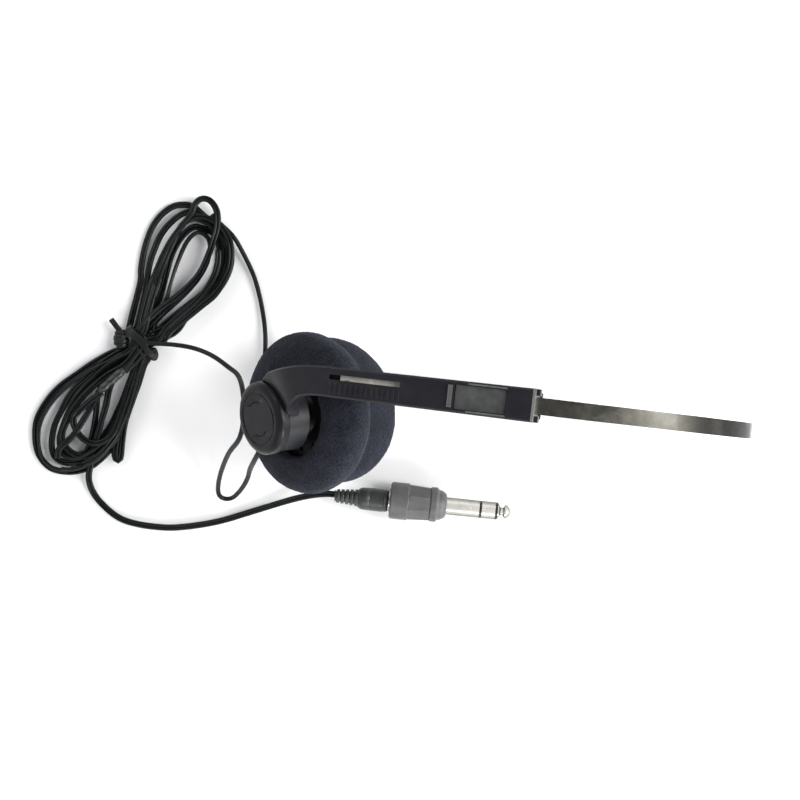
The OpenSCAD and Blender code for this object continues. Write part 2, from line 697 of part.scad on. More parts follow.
adapter_tip();
adapter_insulators();
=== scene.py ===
"""Radio headphones lying on their side, with a coiled cable, a plug and an adapter.

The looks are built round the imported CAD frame. Everything is in metres in the row frame:
+Z is up and the floor lies just under Z = 0. Tables in mm are scaled by MM.
"""
import json
import math

import bmesh
import bpy
import numpy as np
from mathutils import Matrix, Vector, noise


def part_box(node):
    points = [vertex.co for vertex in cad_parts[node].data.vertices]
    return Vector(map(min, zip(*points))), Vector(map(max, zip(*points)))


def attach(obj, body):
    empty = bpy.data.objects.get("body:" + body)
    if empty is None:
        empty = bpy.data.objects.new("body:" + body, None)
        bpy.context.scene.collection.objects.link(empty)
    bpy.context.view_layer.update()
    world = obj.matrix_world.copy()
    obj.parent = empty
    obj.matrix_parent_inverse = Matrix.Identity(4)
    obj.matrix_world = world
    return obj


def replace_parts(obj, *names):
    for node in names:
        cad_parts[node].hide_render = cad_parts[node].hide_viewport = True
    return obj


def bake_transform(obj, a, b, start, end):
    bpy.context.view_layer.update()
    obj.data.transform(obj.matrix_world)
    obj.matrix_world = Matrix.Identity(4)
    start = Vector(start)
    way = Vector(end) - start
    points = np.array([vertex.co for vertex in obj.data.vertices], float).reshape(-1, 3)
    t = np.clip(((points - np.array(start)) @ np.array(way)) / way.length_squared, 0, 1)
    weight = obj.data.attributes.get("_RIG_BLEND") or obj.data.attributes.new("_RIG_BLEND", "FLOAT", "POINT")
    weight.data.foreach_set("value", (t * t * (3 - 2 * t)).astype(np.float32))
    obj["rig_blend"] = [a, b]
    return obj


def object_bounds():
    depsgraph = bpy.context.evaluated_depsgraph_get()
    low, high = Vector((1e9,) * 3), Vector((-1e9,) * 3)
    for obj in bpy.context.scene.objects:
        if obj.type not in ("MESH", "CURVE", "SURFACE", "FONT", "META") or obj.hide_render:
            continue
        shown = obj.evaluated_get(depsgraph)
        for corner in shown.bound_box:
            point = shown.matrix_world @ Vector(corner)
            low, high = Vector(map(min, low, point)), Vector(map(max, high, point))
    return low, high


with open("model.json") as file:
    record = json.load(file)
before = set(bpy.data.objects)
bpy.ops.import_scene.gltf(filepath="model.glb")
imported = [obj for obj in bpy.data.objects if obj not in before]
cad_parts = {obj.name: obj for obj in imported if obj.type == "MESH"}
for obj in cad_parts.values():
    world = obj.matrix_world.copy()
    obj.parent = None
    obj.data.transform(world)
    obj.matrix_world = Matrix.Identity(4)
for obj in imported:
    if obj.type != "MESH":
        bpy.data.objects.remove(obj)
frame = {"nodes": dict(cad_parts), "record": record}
cad_lo, cad_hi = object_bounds()
NODES, RECORD = frame["nodes"], frame["record"]
JOINTS = {joint["name"]: joint for joint in RECORD["behaviour"]["joints"]}
BODY_OF = {node: body for body, group in RECORD["behaviour"]["bodies"].items() for node in group}
SIDES = ("left", "right")
MM = 0.001
LAYOUT_CENTRE = (-10.4, 12.6)           # mm, the row frame's origin in the layout of the cables
SCENE = bpy.context.scene


# ------------------------------------------------------------------ shader graph
class Graph:
    """Adds nodes to a material that has a Principled shader."""

    def __init__(self, material):
        self.tree = material.node_tree
        self.shader = self.tree.nodes["Principled BSDF"]

    def feed(self, socket, value):
        """Links a socket into the input, or sets the input's value."""
        if isinstance(value, bpy.types.NodeSocket):
            self.tree.links.new(value, socket)
        else:
            socket.default_value = value

    def add(self, kind, inputs=None, **settings):
        node = self.tree.nodes.new(kind)
        for key, value in settings.items():
            setattr(node, key, value)
        for key, value in (inputs or {}).items():
            self.feed(node.inputs[key], value)
        return node

    def noise(self, vector, size, detail=3.0):
        inputs = {"Scale": 1.0 / size, "Detail": detail, "Roughness": 0.55, "Vector": vector}
        return self.add("ShaderNodeTexNoise", inputs).outputs["Fac"]

    def remap(self, value, source, target):
        return self.add("ShaderNodeMapRange", {
            "From Min": source[0], "From Max": source[1],
            "To Min": target[0], "To Max": target[1], "Value": value}).outputs["Result"]

    def mix(self, factor, first, second):
        """Colour mix; sockets 0, 6, 7 and output 2 are the node's colour set."""
        node = self.add("ShaderNodeMix", {0: factor, 6: first, 7: second}, data_type="RGBA")
        return node.outputs[2]

    def facing(self):
        """0 where the surface faces the viewer, 1 at its outline."""
        return self.add("ShaderNodeLayerWeight", {"Blend": 0.5}).outputs["Facing"]


def shade(colour, factor, lift=0.0):
    return (*(min(1.0, channel * factor + lift) for channel in colour), 1)


def rubbed_edges(graph, colour, base, millimetres, amount, radius):
    """Lightens the sharp edges, in patches."""
    bevel = graph.add("ShaderNodeBevel", {"Radius": radius * MM}, samples=4)
    geometry = graph.add("ShaderNodeNewGeometry")
    bend = graph.add("ShaderNodeVectorMath", {
        0: bevel.outputs["Normal"], 1: geometry.outputs["Normal"]}, operation="DOT_PRODUCT")
    rub = graph.remap(bend.outputs["Value"], source=(0.995, 0.90), target=(0.0, amount))
    patches = graph.remap(graph.noise(millimetres, size=2.2),
                          source=(0.35, 0.6), target=(0.35, 1.0))
    worn = graph.add("ShaderNodeMath", {0: rub, 1: patches}, operation="MULTIPLY")
    return graph.mix(worn.outputs["Value"], colour, shade(base, factor=4, lift=0.03))


def scratched(graph, roughness, position, amount):
    """Adds fine rough streaks that lie at a slant."""
    streak = graph.add("ShaderNodeMapping", {
        "Scale": (180, 2600, 900), "Rotation": (0.3, 0.2, 0.6), "Vector": position})
    streaks = graph.remap(graph.noise(streak.outputs["Vector"], size=1.0, detail=2.0),
                          source=(0.62, 0.72), target=(0.0, amount))
    total = graph.add("ShaderNodeMath", {0: roughness, 1: streaks}, operation="ADD")
    return total.outputs["Value"]


def grain_material(name, base, rough, *, metallic=0.0, spec=0.5, tint=0.18, tint_size=6.0,
                   grain=0.35, bump=0.15, rough_spread=0.08, grain_scale=(1, 1, 1),
                   grain_turn=(0, 0, 0), specks=0.0, edge=0.0, edge_radius=0.25, scratches=0.0,
                   coat=0.0, sheen=0.0, painted_outline_shade=0.0, fade_spec=False):
    """Principled surface with cloudy colour and a fine grain.

    In mm: tint_size of the colour clouds, grain and bump of the fine texture, edge_radius of
    the rubbed edges. grain_scale multiplies the grain's frequency on each axis. rim paints
    shade into the colour towards the outline, as the camera sees it, and fade_spec takes the
    specular away there.
    """
    material = bpy.data.materials.new(name)
    material.use_nodes = True
    graph = Graph(material)
    inputs = graph.shader.inputs
    position = graph.add("ShaderNodeTexCoord").outputs["Object"]
    grain_space = graph.add("ShaderNodeMapping", {
        "Rotation": grain_turn, "Scale": tuple(1000.0 * scale for scale in grain_scale),
        "Vector": position}).outputs["Vector"]
    millimetres = graph.add("ShaderNodeMapping", {
        "Scale": (1000, 1000, 1000), "Vector": position}).outputs["Vector"]

    cloud = graph.remap(graph.noise(millimetres, tint_size, detail=4.0),
                        source=(0.35, 0.65), target=(0.0, 1.0))
    fine = graph.noise(grain_space, grain, detail=2.0)
    fine_spread = graph.remap(fine, source=(0.3, 0.7), target=(0.0, 1.0))
    colour = graph.mix(cloud, shade(base, 1 - tint), shade(base, 1 + tint))
    highlight = graph.remap(fine_spread, source=(0, 1), target=(0.0, min(1.0, tint * 1.2)))
    colour = graph.mix(highlight, colour, shade(base, factor=2.4 if tint > 0.5 else 1.5))
    if specks:
        cells = graph.add("ShaderNodeTexVoronoi", {
            "Scale": 1.0 / (grain * 1.6), "Vector": millimetres})
        pits = graph.remap(cells.outputs["Distance"], source=(0.0, 0.55), target=(specks, 0.0))
        colour = graph.mix(pits, colour, shade(base, factor=0.25))
    if edge:
        colour = rubbed_edges(graph, colour, base, millimetres, edge, edge_radius)
    # painted shade: the colour darkens towards the outline as the camera sees it, standing in for the shaded
    # edges of round parts
    if painted_outline_shade:
        outline = graph.remap(graph.facing(), source=(0.12, 0.55), target=(0.0, painted_outline_shade))
        colour = graph.mix(outline, colour, shade(base, factor=0.10))
    graph.feed(inputs["Base Color"], colour)

    roughness = graph.remap(
        graph.noise(millimetres, tint_size * 0.6), source=(0.3, 0.7),
        target=(max(0.02, rough - rough_spread), min(1.0, rough + rough_spread)))
    if scratches:
        roughness = scratched(graph, roughness, position, scratches)
    graph.feed(inputs["Roughness"], roughness)

    inputs["Metallic"].default_value = metallic
    inputs["Specular IOR Level"].default_value = spec
    if fade_spec:
        graph.feed(inputs["Specular IOR Level"],
                   graph.remap(graph.facing(), source=(0.35, 0.85), target=(spec, 0.01)))
    if coat:
        inputs["Coat Weight"].default_value = coat
        inputs["Coat Roughness"].default_value = 0.12
    if sheen:
        inputs["Sheen Weight"].default_value = sheen
        inputs["Sheen Roughness"].default_value = 0.45
        inputs["Sheen Tint"].default_value = (0.75, 0.8, 1.0, 1)
    relief = graph.add("ShaderNodeBump", {
        "Strength": 1.0, "Distance": bump * MM, "Height": fine})
    graph.feed(inputs["Normal"], relief.outputs["Normal"])
    material["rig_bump"] = bump
    return material


# ------------------------------------------------------------------ materials
BAND_TURN = (0, 0, math.radians(6.645))     # turns the brushing onto the strip's direction
PLUG_TURN = (0, 0, math.radians(5.87))      # the same for the plug
MATERIALS = {
    "arm": grain_material(
        "arm_black_plastic", (0.0072, 0.0074, 0.0098), rough=0.40, tint=0.15, tint_size=9,
        grain=0.16, bump=0.006, edge=0.40, edge_radius=0.26, scratches=0.12, spec=0.29),
    "cap": grain_material(
        "cap_black_plastic", (0.0062, 0.0065, 0.0080), rough=0.36, tint=0.15, tint_size=6,
        grain=0.14, bump=0.006, edge=0.35, edge_radius=0.25, scratches=0.12, spec=0.16),
    "foam": grain_material(
        "foam_blue_black", (0.0100, 0.0112, 0.0160), rough=0.95, tint=0.60, tint_size=6,
        grain=0.46, bump=0.46, rough_spread=0.03, sheen=0.06, specks=0.95, spec=0.16),
    "cable": grain_material(
        "cable_black_vinyl", (0.0028, 0.0042, 0.0041), rough=0.33, tint=0.25, tint_size=8,
        grain=0.5, bump=0.003, spec=0.24, fade_spec=True),
    "tie": grain_material(
        "tie_black_vinyl", (0.0045, 0.005, 0.005), rough=0.42, spec=0.3, tint=0.25,
        tint_size=3, grain=0.3, bump=0.02),
    "band": grain_material(
        "band_brushed_steel", (0.105, 0.102, 0.088), rough=0.27, metallic=1.0, tint=0.16,
        tint_size=7, grain=0.12, bump=0.004, grain_scale=(0.03, 1.0, 0.03),
        grain_turn=BAND_TURN, rough_spread=0.05, scratches=0.08),
    "plate": grain_material(
        "plate_satin_grey", (0.070, 0.071, 0.070), rough=0.42, metallic=0.55, tint=0.16,
        tint_size=3, grain=0.12, bump=0.005, grain_scale=(0.05, 1.0, 1.0),
        grain_turn=BAND_TURN, edge=0.25, scratches=0.15),
    "clip": grain_material(
        "clip_grey_metal", (0.15, 0.15, 0.148), rough=0.36, metallic=0.35, tint=0.15,
        tint_size=3, grain=0.14, bump=0.005, edge=0.35, scratches=0.1),
    # the rails' light grey is partly the metal tabs' own colour and partly a painted highlight of their lit
    # edges
    "rail": grain_material(
        "rail_metal_grey_painted_highlight", (0.085, 0.086, 0.086), rough=0.34, metallic=0.3, tint=0.14,
        tint_size=3, grain=0.14, bump=0.005, edge=0.4, scratches=0.1),
    "mould": grain_material(
        "splitter_mould", (0.0125, 0.0145, 0.0138), rough=0.33, tint=0.2, tint_size=3,
        grain=0.2, bump=0.004, edge=0.2),
    # the nickel's dark outline is painted shade, not the metal's own colour
    "nickel": grain_material(
        "nickel_plate", (0.74, 0.72, 0.66), rough=0.20, metallic=0.55, painted_outline_shade=0.92, tint=0.07,
        tint_size=3, grain=0.10, bump=0.0015, grain_scale=(0.05, 1.0, 1.0),
        grain_turn=PLUG_TURN, scratches=0.12),
    "steel": grain_material(
        "bright_steel", (0.5, 0.49, 0.47), rough=0.22, metallic=1.0, tint=0.08, tint_size=2,
        grain=0.12, bump=0.002, scratches=0.1),
    "handle": grain_material(
        "plug_grip_plastic", (0.0225, 0.0270, 0.0250), rough=0.42, tint=0.18, tint_size=4,
        grain=0.16, bump=0.010, edge=0.25, edge_radius=0.2),
    "adapter": grain_material(
        "adapter_grey_plastic", (0.076, 0.074, 0.076), rough=0.48, tint=0.14, tint_size=4,
        grain=0.15, bump=0.010, edge=0.28, edge_radius=0.25, scratches=0.1),
    "insulator": grain_material(
        "insulator_black", (0.006, 0.006, 0.006), rough=0.35, tint=0.2, tint_size=1.5,
        grain=0.1, bump=0.003),
    "liner": grain_material(
        "natural_nylon", (0.52, 0.51, 0.45), rough=0.48, tint=0.08, tint_size=2, grain=0.12,
        bump=0.006),
    "magnet": grain_material(
        "zinc_plated_iron", (0.36, 0.36, 0.34), rough=0.35, metallic=1.0, tint=0.12,
        tint_size=2, grain=0.12, bump=0.004, scratches=0.1),
    "copper": grain_material(
        "enamelled_copper", (0.55, 0.22, 0.08), rough=0.28, metallic=1.0, tint=0.15,
        tint_size=0.6, grain=0.09, bump=0.03, grain_scale=(1, 1, 6)),
    "film": grain_material(
        "amber_film", (0.34, 0.30, 0.16), rough=0.22, tint=0.10, tint_size=2, grain=0.2,
        bump=0.004, coat=0.4),
    "board": grain_material(
        "board_green_lacquer", (0.02, 0.09, 0.035), rough=0.38, tint=0.2, tint_size=1.2,
        grain=0.15, bump=0.006, edge=0.2),
    "felt": grain_material(
        "grey_felt", (0.22, 0.22, 0.20), rough=0.95, tint=0.3, tint_size=1.5, grain=0.18,
        bump=0.12, sheen=0.3, specks=0.4),
    "brass": grain_material(
        "contact_brass", (0.55, 0.40, 0.16), rough=0.25, metallic=1.0, tint=0.12, tint_size=1,
        grain=0.1, bump=0.003, scratches=0.1),
}

# The brightness stops scale the strip's colour along X: five times lighter where it runs in the arms; past X
# 69 mm painted reflections give dark stripes and make it darkest near its +X end. The metallic and specular
# stops make it less metallic in the arms and take the metal's reflection away near the +X end.
# Stops are (X in mm, value).
BAND_PAINTED_REFLECTION = [
    (-20, 5.0), (47, 5.0), (50, 1.45), (57, 1.6), (66, 1.5), (69, 0.8), (72, 0.42), (75, 0.30),
    (80, 0.35), (84, 0.52), (89, 0.52), (92, 0.42), (95, 0.28), (98, 0.18), (104, 0.15),
    (109, 0.11), (112, 0.09), (117, 0.09), (119, 0.13), (120.5, 0.40), (124, 0.40)]
BAND_METALLIC = [(-20, 0.25), (47, 0.25), (50, 1.0), (101, 1.0), (106, 0.0), (118.5, 0.0),
                 (121, 0.6), (124, 0.6)]
BAND_SPECULAR = [(-20, 0.5), (101, 0.5), (106, 0.04), (118.5, 0.04), (121, 0.5), (124, 0.5)]


def value_along_x(graph, stops):
    """Socket that follows the stops in straight lines along the row's X axis."""
    position = graph.add("ShaderNodeTexCoord").outputs["Object"]
    axes = graph.add("ShaderNodeSeparateXYZ", {"Vector": position})
    start, end = stops[0][0], stops[-1][0]
    share = graph.remap(axes.outputs["X"], source=(start * MM, end * MM), target=(0.0, 1.0))
    node = graph.add("ShaderNodeFloatCurve")
    curve = node.mapping.curves[0]
    top = max(value for _, value in stops)
    points = [((x - start) / (end - start), value / top) for x, value in stops]
    curve.points[0].location, curve.points[1].location = points[0], points[-1]
    for point in points[1:-1]:
        curve.points.new(*point)
    for point in curve.points:
        point.handle_type = "VECTOR"
    node.mapping.update()
    graph.feed(node.inputs["Value"], share)
    value = graph.add("ShaderNodeMath", {0: node.outputs["Value"], 1: top},
                      operation="MULTIPLY")
    return value.outputs["Value"]


# paints the strip's reflections into its colour, and sets its metallic and specular, along X
def paint_band_reflection():
    graph = Graph(MATERIALS["band"])
    inputs = graph.shader.inputs
    # painted reflection: scales the strip's colour along X
    painted_reflection = value_along_x(graph, BAND_PAINTED_REFLECTION)
    colour = graph.add("ShaderNodeVectorMath", operation="SCALE", inputs={
        0: inputs["Base Color"].links[0].from_socket, "Scale": painted_reflection})
    graph.feed(inputs["Base Color"], colour.outputs["Vector"])
    graph.feed(inputs["Metallic"], value_along_x(graph, BAND_METALLIC))
    graph.feed(inputs["Specular IOR Level"], value_along_x(graph, BAND_SPECULAR))


LOOK = {
    "headband_strip": "band", "band_end_stops": "steel", "cable_bundle": "cable",
    "cable_tie": "tie", "y_splitter": "handle", "main_lead": "cable",
    "plug_handle": "handle", "plug_sleeve": "nickel", "plug_ring": "nickel",
    "plug_tip": "nickel", "plug_insulators": "insulator",
    "adapter_body": "adapter", "adapter_nose": "adapter", "adapter_socket_bush": "nickel",
    "adapter_contacts": "brass", "adapter_sleeve": "nickel", "adapter_ring": "nickel",
    "adapter_tip": "nickel", "adapter_insulators": "insulator",
}
SIDE_LOOK = {
    "arm": "arm", "friction_plate": "plate", "end_clip": "clip", "ball_socket": "cap",
    "hub_cap": "cap", "lead_grommet": "insulator", "ball_seat": "liner", "ball_stud": "steel",
    "housing": "cap", "baffle": "cap", "driver_frame": "cap", "yoke": "magnet",
    "magnet": "magnet", "top_plate": "magnet", "voice_coil": "copper", "diaphragm": "film",
    "terminal_board": "board", "damping_felt": "felt", "foam_pad": "foam", "lead": "cable",
}
for side in SIDES:
    LOOK.update({f"{side}_{part}": look for part, look in SIDE_LOOK.items()})

paint_band_reflection()
for name, node in NODES.items():
    node.data.materials.clear()
    node.data.materials.append(MATERIALS[LOOK[name]])


# ------------------------------------------------------------------ mesh helpers
def place(name, mesh, material):
    mesh.materials.append(MATERIALS[material])
    piece = bpy.data.objects.new(name, mesh)
    SCENE.collection.objects.link(piece)
    return piece


def smooth_faces(mesh):
    mesh.polygons.foreach_set("use_smooth", [True] * len(mesh.polygons))


def new_piece(name, verts, faces, material):
    mesh = bpy.data.meshes.new(name)
    mesh.from_pydata([tuple(vert) for vert in verts], [], faces)
    mesh.validate()
    piece = place(name, mesh, material)
    smooth_faces(mesh)
    edit = bmesh.new()
    edit.from_mesh(mesh)
    bmesh.ops.recalc_face_normals(edit, faces=edit.faces)
    edit.to_mesh(mesh)
    edit.free()
    return piece


def welded_copy(node):
    """Edit mesh of a CAD node with its doubled points merged."""
    edit = bmesh.new()
    edit.from_mesh(NODES[node].data)
    bmesh.ops.remove_doubles(edit, verts=edit.verts, dist=2e-6)
    bmesh.ops.recalc_face_normals(edit, faces=edit.faces)
    return edit


def bake(piece):
    """Applies every modifier of the piece."""
    graph = bpy.context.evaluated_depsgraph_get()
    graph.update()
    mesh = bpy.data.meshes.new_from_object(piece.evaluated_get(graph))
    piece.modifiers.clear()
    old = piece.data
    piece.data = mesh
    mesh.name = old.name + "_done"
    # a modifier may drop the material slots
    if not len(mesh.materials):
        for material in old.materials:
            mesh.materials.append(material)


def read_vectors(items, key):
    values = np.zeros(len(items) * 3, np.float32)
    items.foreach_get(key, values)
    return values.reshape(-1, 3)


def coords(mesh):
    return read_vectors(mesh.vertices, "co").astype(float)


def set_coords(mesh, points):
    mesh.vertices.foreach_set("co", np.asarray(points, np.float32).ravel())
    mesh.update()


def spline(points, step):
    """Catmull-Rom curve through the points, resampled to an even step."""
    knots = np.array(points, float)
    knots = np.vstack([2 * knots[0] - knots[1], knots, 2 * knots[-1] - knots[-2]])
    curve = []
    for i in range(1, len(knots) - 2):
        before, start, end, after = knots[i - 1:i + 3]
        count = max(4, int(np.linalg.norm(end - start) / (step * 0.4)))
        for t in np.arange(count) / count:
            curve.append(0.5 * ((2 * start) + (end - before) * t
                                + (2 * before - 5 * start + 4 * end - after) * t * t
                                + (3 * start - before - 3 * end + after) * t ** 3))
    curve.append(knots[-2])
    curve = np.array(curve)
    run = np.r_[0, np.cumsum(np.linalg.norm(np.diff(curve, axis=0), axis=1))]
    stations = np.linspace(0, run[-1], max(4, int(run[-1] / step) + 1))
    return np.stack([np.interp(stations, run, curve[:, k]) for k in range(3)], axis=1)


def twin_section(width, thickness, count=9):
    """Outline of two touching round conductors, or of one if width equals thickness."""
    radius, offset = thickness / 2, (width - thickness) / 2
    if offset < 1e-6:
        return [(radius * math.cos(angle), radius * math.sin(angle))
                for angle in np.linspace(0, 2 * math.pi, 2 * count, endpoint=False)]
    # each arc stops short of the valley between the conductors
    reach = math.pi - math.acos(min(1.0, offset / radius)) * 0.82
    right = [(offset + radius * math.cos(angle), radius * math.sin(angle))
             for angle in np.linspace(-reach, reach, count)]
    return right + [(-x, -y) for x, y in right]


def sweep(path, section, roll=0.0, up=(0, 0, 1)):
    """Closed tube along the path; roll, in radians, is one number or one per point."""
    path = np.array(path, float)
    count, around = len(path), len(section)
    roll = np.full(count, roll) if np.isscalar(roll) else np.array(roll)
    tangent = np.gradient(path, axis=0)
    tangent /= np.linalg.norm(tangent, axis=1)[:, None]
    side = np.cross(tangent, np.array(up, float))
    for i in range(count):
        # where the path runs close to up, the last side is carried on
        if np.linalg.norm(side[i]) < 0.15 and i:
            side[i] = side[i - 1] - tangent[i] * (side[i - 1] @ tangent[i])
        if i and side[i] @ side[i - 1] < 0:
            side[i] = -side[i]
        side[i] /= np.linalg.norm(side[i])
    top = np.cross(side, tangent)
    verts = []
    for i in range(count):
        cosine, sine = math.cos(roll[i]), math.sin(roll[i])
        across = side[i] * cosine + top[i] * sine
        over = -side[i] * sine + top[i] * cosine
        verts += [path[i] + across * x + over * y for x, y in section]
    faces = [(i * around + k, i * around + (k + 1) % around,
              (i + 1) * around + (k + 1) % around, (i + 1) * around + k)
             for i in range(count - 1) for k in range(around)]
    faces += [tuple(range(around - 1, -1, -1)),
              tuple(range((count - 1) * around, count * around))]
    return verts, faces


def joined(parts):
    verts, faces = [], []
    for part_verts, part_faces in parts:
        faces += [tuple(i + len(verts) for i in face) for face in part_faces]
        verts += list(part_verts)
    return verts, faces


def wander(count, seed, size, amount):
    """Smooth random offsets; size is the number of points per wave."""
    return np.array([noise.noise(Vector((i / size, seed * 7.31, 3.7))) * 2 * amount
                     for i in range(count)])


def lathe(profile, centre, axis, segments=64):
    """Closed turned solid; the profile is (distance along axis, radius), 0 at both ends."""
    axis = Vector(axis).normalized()
    turn = axis.to_track_quat("Z", "Y")
    verts, faces, rings = [], [], []
    for distance, radius in profile:
        if radius < 1e-9:
            rings.append([len(verts)])
            verts.append(Vector(centre) + axis * distance)
            continue
        rings.append(list(range(len(verts), len(verts) + segments)))
        for k in range(segments):
            angle = 2 * math.pi * k / segments
            verts.append(Vector(centre) + turn @ Vector(
                (radius * math.cos(angle), radius * math.sin(angle), distance)))
    for near, far in zip(rings, rings[1:]):
        for k in range(segments):
            j = (k + 1) % segments
            if len(near) == 1:
                faces.append((near[0], far[j], far[k]))
            elif len(far) == 1:
                faces.append((near[k], near[j], far[0]))
            else:
                faces.append((near[k], near[j], far[j], far[k]))
    return verts, faces


# ------------------------------------------------------------------ crisp parts
def dress(node, bevel):
    """The CAD shape with merged points and edges rounded by bevel, in mm."""
    name = node + "_crisp"
    mesh = bpy.data.meshes.new(name)
    edit = welded_copy(node)
    bmesh.ops.dissolve_limit(edit, angle_limit=math.radians(0.4), verts=edit.verts,
                             edges=edit.edges)
    edit.to_mesh(mesh)
    edit.free()
    piece = place(name, mesh, LOOK[node])
    rounding = piece.modifiers.new("edge_round", "BEVEL")
    rounding.width = bevel * MM
    rounding.segments = 2
    rounding.limit_method = "ANGLE"
    rounding.angle_limit = math.radians(35)
    rounding.harden_normals = False
    rounding.use_clamp_overlap = True
    bake(piece)

    mesh = piece.data
    edit = bmesh.new()
    edit.from_mesh(mesh)
    bmesh.ops.remove_doubles(edit, verts=edit.verts, dist=1e-6)
    bmesh.ops.triangulate(edit, faces=[face for face in edit.faces if len(face.verts) > 4])
    edit.to_mesh(mesh)
    edit.free()
    for attribute in [item for item in mesh.attributes if item.name == "custom_normal"]:
        mesh.attributes.remove(attribute)
    smooth_faces(mesh)
    mesh.set_sharp_from_angle(angle=math.radians(38))
    flatten = piece.modifiers.new("flat_faces", "WEIGHTED_NORMAL")
    flatten.keep_sharp = True
    flatten.weight = 60
    bake(piece)
    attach(piece, BODY_OF[node])
    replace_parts(piece, node)
    return piece


def arm_axes(side):
    """The arm's long axis towards the crown, and its plate's normal.

    The normal points up on the left arm and down on the right one.
    """
    axis = -np.array(JOINTS[f"{side}_arm_slide"]["axis"])
    broad = max(NODES[f"{side}_friction_plate"].data.polygons, key=lambda face: face.area)
    normal = np.array(broad.normal)
    return axis, normal * (1 if (normal[2] > 0) == (side == "left") else -1)


def second_material(piece, look, pick):
    """Gives the faces whose centre passes pick the other material."""
    piece.data.materials.append(MATERIALS[look])
    index = len(piece.data.materials) - 1
    for face in piece.data.polygons:
        if pick(np.array(face.center)):
            face.material_index = index


def arm_parts(side):
    arm = dress(f"{side}_arm", bevel=0.18)
    axis, up = arm_axes(side)
    plate = coords(NODES[f"{side}_friction_plate"].data)
    rail_level = (plate @ up).max() + 0.80 * MM
    rail_start = (plate @ axis).min() - 2.6 * MM
    rail_end = (plate @ axis).max() + 1.0 * MM
    # the rail faces take the light grey rail material: metal tab colour with a painted highlight of their
    # lit edges
    second_material(arm, "rail", lambda centre: centre @ up > rail_level
                    and rail_start < centre @ axis < rail_end)
    dress(f"{side}_hub_cap", bevel=0.05)
    clip = dress(f"{side}_end_clip", bevel=0.16)
    metal_end = (coords(NODES[f"{side}_end_clip"].data) @ axis).min() + 0.9 * MM
    second_material(clip, "arm", lambda centre: centre @ axis > metal_end)
    dress(f"{side}_friction_plate", bevel=0.08)
    dress(f"{side}_housing", bevel=0.10)


# ------------------------------------------------------------------ foam pads
FOAM_INSET = 0.20 * MM          # taken off the CAD surface before the foam swells
FOAM_VOXEL = 0.95 * MM
FOAM_SWELL = 0.55 * MM          # the furthest a point may move in the simulation
INFLATE_FRAMES = 20


def inflate(piece):
    """Swells the pad by cloth pressure."""
    cloth = piece.modifiers.new("inflate", "CLOTH")
    settings = cloth.settings
    settings.quality, settings.mass = 4, 0.3
    settings.tension_stiffness = 12
    settings.compression_stiffness = 12
    settings.shear_stiffness = 12
    settings.bending_stiffness = 0.4
    settings.use_pressure, settings.uniform_pressure_force = True, 4.0
    settings.effector_weights.gravity = 0
    cloth.collision_settings.use_collision = False
    for number in range(1, INFLATE_FRAMES + 1):
        SCENE.frame_set(number)
    bake(piece)
    SCENE.frame_set(1)


def roughen(mesh):
    """The cells of open foam and the slight unevenness of a soft pad, in mm of lift."""
    points = coords(mesh)
    normals = read_vectors(mesh.vertex_normals, "vector")
    lift = np.zeros(len(points))
    for i, point in enumerate(points):
        at = Vector(point) * 1000
        lift[i] = (0.10 * noise.noise(at / 0.9)
                   + 0.08 * noise.noise(at / 0.45 + Vector((5, 3, 1)))
                   + 0.22 * noise.noise(at / 9.0))
    set_coords(mesh, points + normals * (lift * MM)[:, None])


def foam_pad(side):
    node, name = f"{side}_foam_pad", f"{side}_ear_foam"
    mesh = bpy.data.meshes.new(name)
    edit = welded_copy(node)
    edit.normal_update()
    for vert in edit.verts:
        vert.co -= vert.normal * FOAM_INSET
    edit.to_mesh(mesh)
    edit.free()
    piece = place(name, mesh, "foam")
    even = piece.modifiers.new("even", "REMESH")
    even.mode, even.voxel_size, even.use_smooth_shade = "VOXEL", FOAM_VOXEL, True
    bake(piece)
    start = coords(piece.data)
    inflate(piece)
    move = coords(piece.data) - start
    length = np.linalg.norm(move, axis=1)
    move *= np.minimum(1.0, FOAM_SWELL / np.maximum(length, 1e-12))[:, None]
    set_coords(piece.data, start + move)
    soft = piece.modifiers.new("soften", "SMOOTH")
    soft.factor, soft.iterations = 0.5, 4
    fine = piece.modifiers.new("fine", "SUBSURF")
    fine.levels = fine.render_levels = 1
    bake(piece)
    roughen(piece.data)
    smooth_faces(piece.data)
    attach(piece, f"{side}_cup_body")
    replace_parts(piece, node)


# ------------------------------------------------------------------ coiled cable
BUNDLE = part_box("cable_bundle")[0]
TWIN = (2.45 * MM, 1.3 * MM)            # width and thickness of the section
SINGLE = (1.15 * MM, 1.15 * MM)
